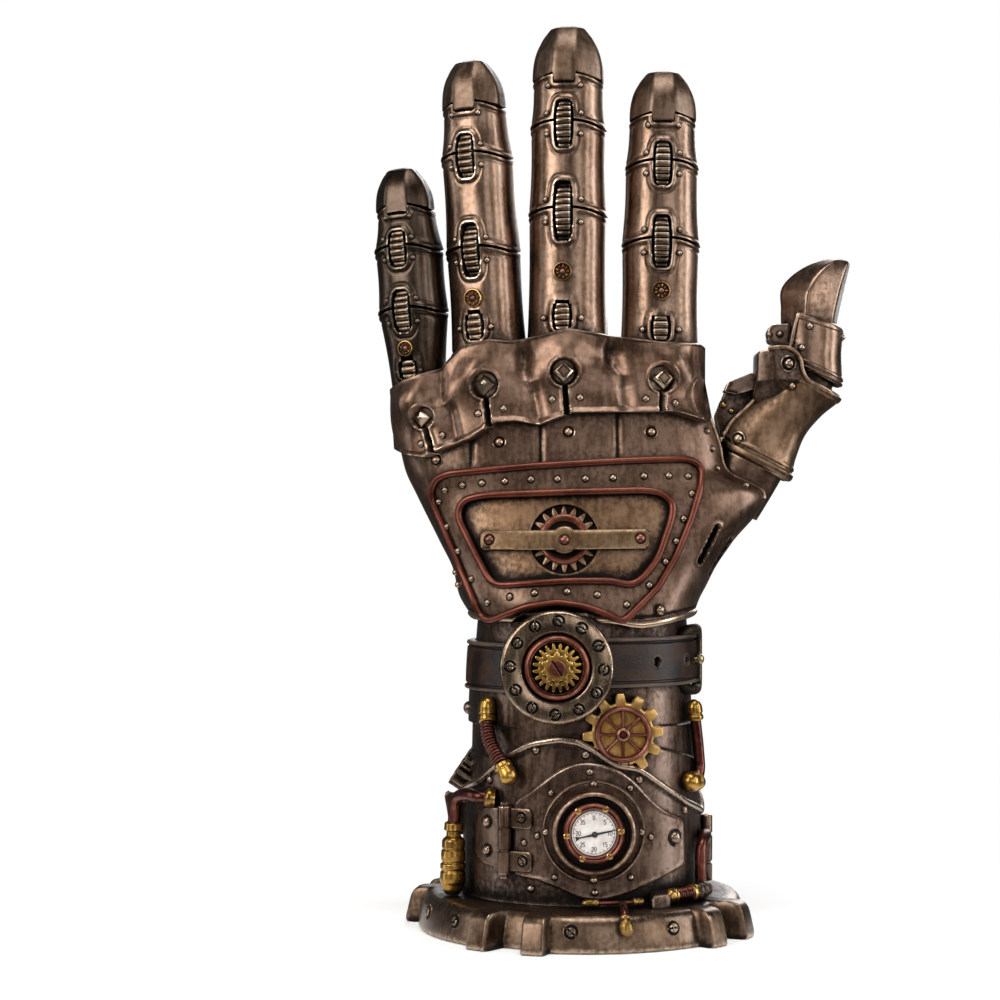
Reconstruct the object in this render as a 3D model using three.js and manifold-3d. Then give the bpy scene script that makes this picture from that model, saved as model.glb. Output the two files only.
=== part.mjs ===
// Mechanical gauntlet statuette on a toothed stand: an upright left hand of riveted plates,
// finger lames and ribbed joint wheels above a strapped, piped cuff. Every line that looks like
// a joint is cast fast, so the whole figure is one rigid body of separate pieces.
// Millimetres, +Z up. The back of the hand faces -Y, the thumb points to +X, and the origin is
// the centre of the stand's flat underside.

import * as THREE from "three";
import { mergeVertices } from "three/addons/utils/BufferGeometryUtils.js";
import Module from "manifold-3d";

const wasm = await Module();
wasm.setup();

// Driving dimensions
const GAP = 0.3;
const WELD = 1e-4;
const SIGHT = { back: 4, front: 40 };
const CORNER_SHARE = 0.45;
const CURVE_STEPS = 3;
const STAND_HEIGHT = 10;
const STAND_SHOULDER = 2;
const CUFF_THICK = 2.2;
const DOOR_THICK = 1.4;
const STRAP = { bottom: 66.6, top: 80, thick: 2.3, holeRadius: 0.9, holeTurns: [40, 66] };
const BUCKLE = { turn: 75, wide: 5.5, high: 8.6, rim: 1.9, thick: 1.3, tongue: 0.9, tongueRise: 0.6 };
const HINGE_LEFT = { turn: -37, bottom: 18, top: 36.8, radius: 1.8, doorEdge: -19.4 };
const HINGE_RIGHT = { turn: 86, bottom: 12.6, top: 31.4, radius: 1.7 };
const SHIELD_THICK = 2.2;
const PANEL_THICK = 1.3;
const PIPING_RADIUS = 0.85;
const GUARD_THICK = 2.2;
const KNUCKLE_RISE = 2;
const SLOT_WIDTH = 5.2;
const SLOT_DEPTH = 4.2;
const WHEEL_WIDTH = 4.4;
const JOINT_BOW = 1.1;
const DIAL = { x: -7.8, z: 74.3, radius: 15.3 };
const GAUGE = { x: 2, z: 30.4, radius: 13.8 };
const SIDE_GEAR = { x: 10, z: 56.2, teeth: 14, root: 8.4, radius: 10.1, wheel: 7.4, rim: 1.3, bar: 0.45 };
const LEFT_GEAR = { turn: -91, z: 43.2, teeth: 11, root: 5.2, radius: 6.6, tilt: -34, sunk: 5, front: 2.8 };
const SHIELD_GEAR = { x: -5.6, z: 108.4, teeth: 18, root: 7, radius: 8.9, bore: 4.9 };
const SHIELD_BAR_THICK = 1.5;

// Elliptical sections of the forearm, from the stand to the hem of the hand
const FOREARM = [
  { z: STAND_HEIGHT + GAP, wide: 31.4, deep: 28.6 },
  { z: 35, wide: 30.9, deep: 27.7 },
  { z: 50, wide: 30.8, deep: 27.2 },
  { z: 64, wide: 30.5, deep: 26.8 },
  { z: 81, wide: 29.6, deep: 26.2 },
  { z: 85.7, wide: 29.2, deep: 25.8 },
];

// Sections of the hand: reach to each side, to the front (-Y) and back, and corner squareness
const HAND = [
  { z: 86, left: -30.5, right: 31, front: 28.5, back: 28.5, square: 2.3 },
  { z: 92, left: -34.2, right: 33.3, front: 26.8, back: 26.4, square: 2.4 },
  { z: 100, left: -36.2, right: 37, front: 24.6, back: 23.6, square: 2.5 },
  { z: 107, left: -39.6, right: 41.7, front: 22.8, back: 21.2, square: 2.6 },
  { z: 120.5, left: -46.3, right: 51.2, front: 19.6, back: 17.6, square: 2.6 },
  { z: 127.5, left: -49.5, right: 40.6, front: 18.2, back: 16.4, square: 2.7 },
  { z: 134, left: -51, right: 38.8, front: 17, back: 15.4, square: 2.8 },
  { z: 141, left: -52.3, right: 36.4, front: 15.8, back: 14.4, square: 2.9 },
  { z: 148, left: -52.4, right: 33.8, front: 14.8, back: 13.6, square: 3 },
  { z: 158, left: -51.8, right: 33, front: 13.6, back: 12.6, square: 3 },
];
const HAND_SIDES = 26;
const FOREARM_SIDES = 26;

// Fingers: seat, lean and turn in degrees, heights of the lines between segments, and the joint
// wheels' slot half-lengths. Heights are measured along the finger from its seat.
const FINGERS = [
  {
    name: "index", x: 21.6, z: 158.4, lean: 0.8, turn: -2, bend: 32, knuckle: 53.6, cap: 66.8, top: 80.2,
    seat: 11, waist: 10.8, upper: 10.1, neck: 9.2, bendSlot: 7.4, knuckleSlot: 6.2,
  },
  {
    name: "middle", x: -4, z: 158.4, lean: 0.3, turn: -10, bend: 40.4, knuckle: 64.5, cap: 77.7, top: 92.7,
    seat: 11.4, waist: 10.8, upper: 10.4, neck: 9.8, bendSlot: 8.4, knuckleSlot: 6.8,
  },
  {
    name: "ring", x: -25.8, z: 159, lean: -3.4, turn: -22, bend: 29.4, knuckle: 55.5, cap: 69.8, top: 82.8,
    seat: 10.2, waist: 9.9, upper: 9.7, neck: 8.5, bendSlot: 7.5, knuckleSlot: 6.2,
  },
  {
    name: "pinky", x: -45.3, z: 147.4, lean: -4.2, turn: -20, bend: 24.2, knuckle: 41.5, cap: 52.9, top: 64.4,
    seat: 7.2, waist: 9.3, upper: 9.1, neck: 7.7, bendSlot: 5.9, knuckleSlot: 5.1,
  },
];
const FINGER_SIDES = 14;
const FINGER_SQUARE = 2.4;
const EDGE = { height: 0.8, depth: 0.7 };
const WHEEL = { rise: 0.4, ribs: 6, ribDepth: 0.9 };

// Finish of each group of pieces
const FINISH = {
  bronze: { color: 0x8f7763, roughness: 0.36, metalness: 0.9 },
  plate: { color: 0x6b5747, roughness: 0.42, metalness: 0.85 },
  cuff: { color: 0x4b3d33, roughness: 0.45, metalness: 0.8 },
  copper: { color: 0x80503f, roughness: 0.34, metalness: 0.9 },
  brass: { color: 0x86683a, roughness: 0.34, metalness: 0.9 },
  leather: { color: 0x3a312d, roughness: 0.6, metalness: 0 },
  enamel: { color: 0xe6ded6, roughness: 0.5, metalness: 0 },
};

const gauntlet = new THREE.Group();

// Solid of a geometry: corners welded, empty triangles dropped, and turned about if inside out
function toSolid(geometry) {
  const bare = geometry.clone();
  bare.deleteAttribute("normal");
  bare.deleteAttribute("uv");
  const merged = mergeVertices(bare, WELD);
  const corners = merged.index.array;
  const kept = [];
  for (let start = 0; start < corners.length; start += 3) {
    const [a, b, c] = corners.slice(start, start + 3);
    if (a !== b && b !== c && c !== a) kept.push(a, b, c);
  }
  merged.setIndex(kept);
  if (signedVolume(merged) < 0) kept.reverse();
  return new wasm.Manifold(new wasm.Mesh({
    numProp: 3,
    vertProperties: new Float32Array(merged.attributes.position.array),
    triVerts: new Uint32Array(kept),
  }));
}

function toGeometry(solid) {
  const mesh = solid.getMesh();
  const geometry = new THREE.BufferGeometry();
  geometry.setAttribute("position", new THREE.BufferAttribute(mesh.vertProperties, 3));
  geometry.setIndex(new THREE.BufferAttribute(mesh.triVerts, 1));
  geometry.computeVertexNormals();
  return geometry;
}

function addPiece(name, solid, finish, parent = gauntlet) {
  const mesh = new THREE.Mesh(toGeometry(solid), new THREE.MeshStandardMaterial(FINISH[finish]));
  mesh.name = name;
  parent.add(mesh);
}

const radians = THREE.MathUtils.degToRad;

// Cap of an end ring: strips that join its two halves, or triangles that follow a level outline
function stripCap(ring) {
  const triangles = [];
  for (let side = 0; side < ring.length / 2 - 1; side += 1) {
    const across = ring.length - 1 - side;
    triangles.push([side, across - 1, across], [side, side + 1, across - 1]);
  }
  return triangles;
}

function levelCap(ring) {
  return THREE.ShapeUtils.triangulateShape(ring.map((point) => new THREE.Vector2(point.x, point.y)), []);
}

// Skin over a row of rings with equal, even point counts: closed on itself, or capped at its ends
function loft(rings, closed = false, cap = stripCap) {
  const sides = rings[0].length;
  const index = [];
  const spans = closed ? rings.length : rings.length - 1;
  for (let ring = 0; ring < spans; ring += 1) {
    const here = ring * sides;
    const next = ((ring + 1) % rings.length) * sides;
    for (let side = 0; side < sides; side += 1) {
      const other = (side + 1) % sides;
      index.push(here + side, here + other, next + other, here + side, next + other, next + side);
    }
  }
  if (!closed) {
    const last = (rings.length - 1) * sides;
    cap(rings[0]).forEach(([a, b, c]) => index.push(a, c, b));
    cap(rings[rings.length - 1]).forEach(([a, b, c]) => index.push(last + a, last + b, last + c));
  }
  const geometry = new THREE.BufferGeometry().setFromPoints(rings.flat());
  geometry.setIndex(index);
  return toSolid(geometry);
}

function signedVolume(geometry) {
  const corners = [new THREE.Vector3(), new THREE.Vector3(), new THREE.Vector3()];
  const { position } = geometry.attributes;
  const index = geometry.index.array;
  let volume = 0;
  for (let start = 0; start < index.length; start += 3) {
    corners.forEach((corner, side) => corner.fromBufferAttribute(position, index[start + side]));
    volume += corners[0].dot(corners[1].clone().cross(corners[2])) / 6;
  }
  return volume;
}

// Value of a column at a height, by straight lines between the rows of a table
function column(rows, key, at, by = "z") {
  const above = rows.findIndex((row) => row[by] >= at);
  if (above === 0) return rows[0][key];
  if (above < 0) return rows[rows.length - 1][key];
  const low = rows[above - 1];
  const high = rows[above];
  return THREE.MathUtils.mapLinear(at, low[by], high[by], low[key], high[key]);
}

// Point of a superellipse at an angle, for half sizes and a squareness (2 is an ellipse)
function superPoint(angle, halfWide, halfDeep, square) {
  const power = 2 / square;
  const across = Math.sin(angle);
  const along = Math.cos(angle);
  return {
    x: halfWide * Math.sign(across) * Math.abs(across) ** power,
    y: -halfDeep * Math.sign(along) * Math.abs(along) ** power,
  };
}

function turnsOf(sides) {
  return Array.from({ length: sides }, (_, side) => (2 * Math.PI * (side + 0.5)) / sides);
}

// Forearm: point at a turn from the front towards +X, a height and a lift off the surface
function onForearm(turn, z, lift) {
  const wide = column(FOREARM, "wide", z) + lift;
  const deep = column(FOREARM, "deep", z) + lift;
  return new THREE.Vector3(wide * Math.sin(turn), -deep * Math.cos(turn), z);
}

function forearmSolid(lift, bottom = FOREARM[0].z, top = FOREARM[FOREARM.length - 1].z) {
  const heights = [bottom, ...FOREARM.map((row) => row.z).filter((z) => z > bottom && z < top), top];
  return loft(heights.map((z) => turnsOf(FOREARM_SIDES).map((turn) => onForearm(turn, z, lift))));
}

// Band round the forearm between two lifts, its edges given as functions of the turn
function forearmBand(inner, outer, bottomAt, topAt, rows = 2) {
  const rings = turnsOf(FOREARM_SIDES).map((turn) => {
    const levels = Array.from({ length: rows }, (_, row) => row / (rows - 1));
    const heights = levels.map((level) => THREE.MathUtils.lerp(bottomAt(turn), topAt(turn), level));
    const outside = heights.map((z) => onForearm(turn, z, outer));
    const inside = heights.map((z) => onForearm(turn, z, inner)).reverse();
    return [...outside, ...inside];
  });
  return loft(rings, true);
}

// Hand: section at a height grown by a lift, and the front surface's depth there
function handSection(z, lift) {
  const left = column(HAND, "left", z) - lift;
  const right = column(HAND, "right", z) + lift;
  return {
    middle: (left + right) / 2,
    wide: (right - left) / 2,
    front: column(HAND, "front", z) + lift,
    back: column(HAND, "back", z) + lift,
    square: column(HAND, "square", z),
  };
}

function onHand(angle, z, lift) {
  const section = handSection(z, lift);
  const facing = Math.cos(angle) > 0 ? section.front : section.back;
  const point = superPoint(angle, section.wide, facing, section.square);
  return new THREE.Vector3(section.middle + point.x, point.y, z);
}

function handFront(x, z, lift) {
  const section = handSection(z, lift);
  const across = Math.min(Math.abs((x - section.middle) / section.wide), 1);
  return -section.front * (1 - across ** section.square) ** (1 / section.square);
}

function handSolid(lift) {
  return loft(HAND.map((row) => turnsOf(HAND_SIDES).map((angle) => onHand(angle, row.z, lift))));
}

// Outline with rounded corners, in the plane seen from the front
function roundedShape(corners) {
  const shape = new THREE.Shape();
  corners.forEach((corner, place) => {
    const here = new THREE.Vector2(corner.x, corner.z);
    const before = corners[(place + corners.length - 1) % corners.length];
    const after = corners[(place + 1) % corners.length];
    const back = new THREE.Vector2(before.x - corner.x, before.z - corner.z);
    const ahead = new THREE.Vector2(after.x - corner.x, after.z - corner.z);
    const start = here.clone().add(back.setLength(Math.min(corner.round, CORNER_SHARE * back.length())));
    const end = here.clone().add(ahead.setLength(Math.min(corner.round, CORNER_SHARE * ahead.length())));
    if (place === 0) shape.moveTo(start.x, start.y);
    else shape.lineTo(start.x, start.y);
    shape.quadraticCurveTo(here.x, here.y, end.x, end.y);
  });
  shape.closePath();
  return shape;
}

// Prism of a front-view shape between two depths measured towards the viewer
function frontPrism(shape, back = SIGHT.back, front = SIGHT.front) {
  const settings = { depth: front - back, bevelEnabled: false, curveSegments: CURVE_STEPS };
  const geometry = new THREE.ExtrudeGeometry(shape, settings);
  geometry.rotateX(Math.PI / 2);
  geometry.translate(0, -back, 0);
  return toSolid(geometry);
}

// Turned piece that faces the viewer: profile rows of radius and distance towards the viewer
function turned(rows, x, z, sides) {
  const profile = rows.map((row) => new THREE.Vector2(row.radius, row.out));
  const geometry = new THREE.LatheGeometry(profile, sides);
  geometry.rotateX(Math.PI);
  geometry.translate(x, 0, z);
  return toSolid(geometry);
}

// Toothed outline round a centre: flat-topped teeth take four points, pointed teeth two
function gearShape(x, z, teeth, root, tip, flat = 0) {
  const pitch = (2 * Math.PI) / teeth;
  const blunt = [
    { at: -0.5 + flat / 2, radius: root },
    { at: -flat / 2, radius: tip },
    { at: flat / 2, radius: tip },
    { at: 0.5 - flat / 2, radius: root },
  ];
  const sharp = [{ at: -0.5, radius: root }, { at: 0, radius: tip }];
  const corners = flat > 0 ? blunt : sharp;
  const points = [];
  for (let tooth = 0; tooth < teeth; tooth += 1) {
    for (const corner of corners) {
      const angle = pitch * (tooth + corner.at);
      const { radius } = corner;
      points.push(new THREE.Vector2(x + radius * Math.cos(angle), z + radius * Math.sin(angle)));
    }
  }
  return new THREE.Shape(points);
}

// Round outline of straight sides, and the same as a hole
function disc(x, z, radius, sides = 16) {
  return new THREE.Shape(turnsOf(sides).map((turn) => (
    new THREE.Vector2(x + radius * Math.cos(turn), z + radius * Math.sin(turn)))));
}

function roundHole(x, z, radius, sides = 16) {
  return new THREE.Path(disc(x, z, radius, sides).getPoints().reverse());
}

// Outline of a straight bar between two places
function strip(from, to, half) {
  const along = new THREE.Vector2(to.x - from.x, to.z - from.z).normalize();
  const side = new THREE.Vector2(-along.y, along.x).multiplyScalar(half);
  return new THREE.Shape([[from, 1], [from, -1], [to, -1], [to, 1]].map(([end, sign]) => (
    new THREE.Vector2(end.x + sign * side.x, end.z + sign * side.y))));
}

// Pipe along a curve, its radius set by rows of a fraction of the way and a radius
function pipe(points, rows, sides, up) {
  const curve = new THREE.CatmullRomCurve3(points, false, "centripetal");
  const rings = rows.map((row) => {
    const centre = curve.getPointAt(row.at);
    const ahead = curve.getTangentAt(row.at);
    const side = new THREE.Vector3().crossVectors(up, ahead).normalize();
    const rise = new THREE.Vector3().crossVectors(ahead, side);
    return turnsOf(sides).map((turn) => centre.clone()
      .addScaledVector(side, row.radius * Math.cos(turn))
      .addScaledVector(rise, row.radius * Math.sin(turn)));
  });
  return loft(rings);
}

// Closed round bead along a front-view outline, carried on the hand's front surface
function beadOnHand(shape, count, lift) {
  const rings = shape.getSpacedPoints(count).slice(0, count).map((point, place, all) => {
    const before = all[(place + count - 1) % count];
    const after = all[(place + 1) % count];
    const along = new THREE.Vector3(after.x - before.x, 0, after.y - before.y).normalize();
    const side = new THREE.Vector3(along.z, 0, -along.x);
    const centre = new THREE.Vector3(point.x, handFront(point.x, point.y, lift), point.y);
    return turnsOf(4).map((turn) => centre.clone()
      .addScaledVector(side, PIPING_RADIUS * Math.cos(turn))
      .addScaledVector(new THREE.Vector3(0, -1, 0), PIPING_RADIUS * Math.sin(turn)));
  });
  return loft(rings, true);
}

// Stand: a low gear with four pairs of teeth and plain arcs between, narrower at the top
const STAND_PAIRS = [-109.5, -27, 55.5, 152];
const STAND_ARC = { radius: 45.8, turn: 14, steps: [0.2, 0.4, 0.6, 0.8] };
const STAND_TOOTH = [
  { turn: -14, radius: 45.8 },
  { turn: -13.4, radius: 50 },
  { turn: -5.8, radius: 50 },
  { turn: -5, radius: 42.4 },
  { turn: 5, radius: 42.4 },
  { turn: 5.8, radius: 50 },
  { turn: 13.4, radius: 50 },
  { turn: 14, radius: 45.8 },
];

function standRing(z, inset) {
  const at = (turn, radius) => new THREE.Vector3(
    (radius - inset) * Math.sin(radians(turn)),
    -(radius - inset) * Math.cos(radians(turn)),
    z,
  );
  return STAND_PAIRS.flatMap((pair, place) => {
    const next = place + 1 < STAND_PAIRS.length ? STAND_PAIRS[place + 1] : STAND_PAIRS[0] + 360;
    const teeth = STAND_TOOTH.map((row) => at(pair + row.turn, row.radius));
    const arc = STAND_ARC.steps.map((step) => at(
      THREE.MathUtils.lerp(pair + STAND_ARC.turn, next - STAND_ARC.turn, step),
      STAND_ARC.radius,
    ));
    return [...teeth, ...arc];
  });
}

function addStand() {
  const rings = [
    standRing(0, 0),
    standRing(STAND_HEIGHT - STAND_SHOULDER, 1.9),
    standRing(STAND_HEIGHT, 3.6),
  ];
  const stand = loft(rings, false, levelCap);
  addPiece("gear_stand", stand, "bronze");
}

// Cuff: the forearm core, the wavy-edged cuff plate and the strap round the wrist
const CUFF_EDGE = [
  { turn: -180, top: 37 },
  { turn: -90, top: 38.7 },
  { turn: -58, top: 43.4 },
  { turn: -38, top: 50.9 },
  { turn: -26, top: 54.4 },
  { turn: -12, top: 55.8 },
  { turn: -3, top: 55 },
  { turn: 5, top: 52.4 },
  { turn: 13, top: 49 },
  { turn: 25, top: 47.8 },
  { turn: 41, top: 42.1 },
  { turn: 57, top: 37.4 },
  { turn: 82, top: 33.4 },
  { turn: 102, top: 38.6 },
  { turn: 180, top: 37 },
];

function cuffTop(turn) {
  const degrees = THREE.MathUtils.radToDeg(turn);
  return column(CUFF_EDGE, "top", degrees > 180 ? degrees - 360 : degrees, "turn");
}

function strapHole(turn) {
  const hole = new THREE.CylinderGeometry(STRAP.holeRadius, STRAP.holeRadius, STRAP.top - STRAP.bottom, 8);
  hole.rotateX(Math.PI / 2);
  hole.rotateZ(turn);
  const place = onForearm(turn, (STRAP.bottom + STRAP.top) / 2, 0);
  hole.translate(place.x, place.y, place.z);
  return toSolid(hole);
}

function addCuff() {
  addPiece("forearm_core", forearmSolid(0), "cuff");
  const bottom = () => STAND_HEIGHT + GAP;
  addPiece("cuff_plate", forearmBand(GAP, CUFF_THICK, bottom, cuffTop, 3), "cuff");
  let strap = forearmBand(GAP, STRAP.thick, () => STRAP.bottom, () => STRAP.top);
  for (const turn of STRAP.holeTurns) {
    strap = strap.subtract(strapHole(radians(turn)));
  }
  addPiece("wrist_strap", strap, "leather");
}

// Buckle: a frame standing on the strap at the thumb side, with its tongue
function rectangle(left, right, bottom, top, round) {
  return roundedShape([
    { x: left, z: bottom, round },
    { x: right, z: bottom, round },
    { x: right, z: top, round },
    { x: left, z: top, round },
  ]);
}

function addBuckle() {
  const { wide, high, rim, thick, tongue, tongueRise } = BUCKLE;
  const turn = radians(BUCKLE.turn);
  const place = onForearm(turn, (STRAP.bottom + STRAP.top) / 2, STRAP.thick + GAP);
  const buckle = frontPrism(rectangle(-wide, wide, -high, high, rim), -rim, thick)
    .subtract(frontPrism(rectangle(rim - wide, wide - rim, rim - high, high - rim, rim), -2 * rim, 2 * rim))
    .add(frontPrism(rectangle(-wide, wide - rim / 2, -tongue, tongue, tongue), -rim, thick + tongueRise))
    .rotate([0, 0, BUCKLE.turn])
    .translate([place.x, place.y, place.z])
    .subtract(forearmSolid(STRAP.thick + GAP));
  addPiece("strap_buckle", buckle, "brass");
}

// Hatch in the cuff: a lens-shaped door, the boss on it, and the gauge in the boss
function addHatch() {
  const inner = CUFF_THICK + GAP;
  const outer = inner + DOOR_THICK;
  const outline = roundedShape([
    { x: -19.4, z: 37.2, round: 1.5 },
    { x: -4, z: 49.5, round: 8 },
    { x: 9.5, z: 47.5, round: 8 },
    { x: 20.4, z: 35.7, round: 5 },
    { x: 27.6, z: 32.2, round: 1.5 },
    { x: 27.6, z: 20, round: 1.5 },
    { x: 14, z: 14.6, round: 8 },
    { x: 2, z: 11, round: 8 },
    { x: -11, z: 17, round: 6 },
    { x: -19.4, z: 18, round: 1.5 },
  ]);
  const skin = forearmSolid(outer).subtract(forearmSolid(inner));
  addPiece("cuff_door", skin.intersect(frontPrism(outline)), "plate");

  const floor = 33.2;
  const boss = turned([
    { radius: 0, out: 20 },
    { radius: GAUGE.radius, out: 20 },
    { radius: GAUGE.radius, out: 32.4 },
    { radius: 11.4, out: 35 },
    { radius: 11, out: 36.6 },
    { radius: 9.9, out: 36.6 },
    { radius: 9.5, out: floor },
    { radius: 0, out: floor },
  ], GAUGE.x, GAUGE.z, 22);
  addPiece("gauge_boss", boss.subtract(forearmSolid(outer + GAP)), "plate");
  const bezel = turned([
    { radius: 6.2, out: floor + GAP },
    { radius: 8, out: floor + GAP },
    { radius: 8, out: 35 },
    { radius: 7, out: 36 },
    { radius: 6.2, out: 35.2 },
    { radius: 6.2, out: floor + GAP },
  ], GAUGE.x, GAUGE.z, 20);
  addPiece("gauge_bezel", bezel, "copper");
  const face = turned([
    { radius: 0, out: floor + GAP },
    { radius: 5.9, out: floor + GAP },
    { radius: 5.9, out: 34.6 },
    { radius: 0, out: 34.6 },
  ], GAUGE.x, GAUGE.z, 20);
  addPiece("gauge_face", face, "enamel");
}

// Hinges of the hatch: a long barrel with leaves on the left, a stack of barrels on the right
function addHinges() {
  const doorTop = CUFF_THICK + GAP + DOOR_THICK;
  const barrel = ({ turn, bottom, top, radius }, lift) => {
    const post = new THREE.CylinderGeometry(radius, radius, top - bottom, 10);
    post.rotateX(Math.PI / 2);
    const place = onForearm(radians(turn), (bottom + top) / 2, lift);
    post.translate(place.x, place.y, place.z);
    return toSolid(post);
  };
  const leaf = (shape, inner, outer) => forearmSolid(outer).subtract(forearmSolid(inner))
    .intersect(frontPrism(shape));
  const joint = HINGE_LEFT.doorEdge - 4 * GAP;
  const tabs = [{ bottom: 19.4, top: 24.6 }, { bottom: 30.9, top: 36.1 }].map(({ bottom, top }) => leaf(
    rectangle(joint, joint + 6, bottom, top, 0.8),
    doorTop + GAP,
    doorTop + GAP + 1,
  ));
  const wing = leaf(roundedShape([
    { x: -29.6, z: 20.4, round: 3 },
    { x: joint, z: 19.4, round: 0.8 },
    { x: joint, z: 36, round: 0.8 },
    { x: -29.6, z: 35, round: 3 },
  ]), CUFF_THICK + GAP, CUFF_THICK + GAP + 1.2);
  const doorSide = rectangle(HINGE_LEFT.doorEdge - GAP, 0, STAND_HEIGHT, STRAP.bottom, 0);
  const left = barrel(HINGE_LEFT, doorTop + 1.2)
    .add(wing)
    .subtract(forearmSolid(CUFF_THICK + GAP))
    .subtract(forearmSolid(doorTop + GAP).intersect(frontPrism(doorSide)))
    .add(tabs[0])
    .add(tabs[1]);
  addPiece("hinge_left", left, "plate");
  const right = barrel(HINGE_RIGHT, CUFF_THICK + 1.4).subtract(forearmSolid(CUFF_THICK + GAP));
  addPiece("hinge_right", right, "plate");
}

// Wrist dial: a thick round plate standing off the strap, its copper ring and stacked gears
function addWristDial() {
  const floor = 32.4;
  const plate = turned([
    { radius: 0, out: 18 },
    { radius: 12.6, out: 18 },
    { radius: 12.6, out: 31.2 },
    { radius: DIAL.radius, out: 31.2 },
    { radius: DIAL.radius, out: 32.8 },
    { radius: 14.5, out: 33.6 },
    { radius: 9.2, out: 33.6 },
    { radius: 9, out: floor },
    { radius: 0, out: floor },
  ], DIAL.x, DIAL.z, 24);
  addPiece("dial_plate", plate.subtract(forearmSolid(STRAP.thick + GAP)), "plate");
  const ring = turned([
    { radius: 7, out: floor + GAP },
    { radius: 8.6, out: floor + GAP },
    { radius: 8.6, out: 34 },
    { radius: 7.8, out: 34.8 },
    { radius: 7, out: 34 },
    { radius: 7, out: floor + GAP },
  ], DIAL.x, DIAL.z, 20);
  addPiece("dial_ring", ring, "copper");
  const gear = frontPrism(gearShape(DIAL.x, DIAL.z, 20, 5.2, 6.5), floor + GAP, 34)
    .add(frontPrism(gearShape(DIAL.x, DIAL.z, 9, 3.4, 4.2, 0.3), 33.6, 35))
    .add(frontPrism(disc(DIAL.x, DIAL.z, 2.3, 12), 34.6, 35.8));
  addPiece("dial_gear", gear, "brass");
}

// Side gear: a chunky gear on a boss below the dial, tucked behind the cuff's edge, with a
// copper spoked wheel on its face
function addSideGear() {
  const back = 26.8;
  const front = 29.2;
  const edge = CUFF_EDGE.filter((row) => Math.abs(row.turn) < 60).map((row) => {
    const place = onForearm(radians(row.turn), row.top, CUFF_THICK);
    return new THREE.Vector2(place.x, row.top + 4 * GAP);
  });
  const below = new THREE.Shape([
    new THREE.Vector2(edge[0].x, STAND_HEIGHT),
    ...edge,
    new THREE.Vector2(edge[edge.length - 1].x, STAND_HEIGHT),
  ]);
  const { x, z, teeth, root, radius, wheel, rim, bar } = SIDE_GEAR;
  const gear = frontPrism(gearShape(x, z, teeth, root, radius, 0.36), back, front)
    .add(frontPrism(disc(x, z, root / 2), back - root, back + 1))
    .subtract(forearmSolid(GAP))
    .subtract(frontPrism(below));
  addPiece("side_gear", gear, "brass");

  const face = front + GAP;
  const hoop = disc(x, z, wheel, 14);
  hoop.holes.push(roundHole(x, z, wheel - rim, 14));
  let spokes = frontPrism(hoop, face, face + 1.6).add(frontPrism(disc(x, z, 1.9, 8), face, face + 2));
  for (const turn of [0, 45, 90, 135]) {
    const across = (wheel - rim / 2) * Math.cos(radians(turn));
    const rise = (wheel - rim / 2) * Math.sin(radians(turn));
    const spoke = strip({ x: x - across, z: z - rise }, { x: x + across, z: z + rise }, bar);
    spokes = spokes.add(frontPrism(spoke, face, face + 1.2));
  }
  addPiece("spoke_wheel", spokes.subtract(frontPrism(below)), "copper");
}

// Wheel whose teeth show past the cuff's left edge, leaning on the forearm
function addLeftGear() {
  const { turn, z, teeth, root, radius, tilt, sunk, front } = LEFT_GEAR;
  const place = onForearm(radians(turn), z, CUFF_THICK + GAP);
  const gear = frontPrism(gearShape(0, 0, teeth, root, radius, 0.34), -sunk, front)
    .rotate([tilt, 0, 0])
    .rotate([0, 0, turn])
    .translate([place.x, place.y, place.z])
    .subtract(forearmSolid(CUFF_THICK + GAP));
  addPiece("left_gear", gear, "brass");
}

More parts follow.
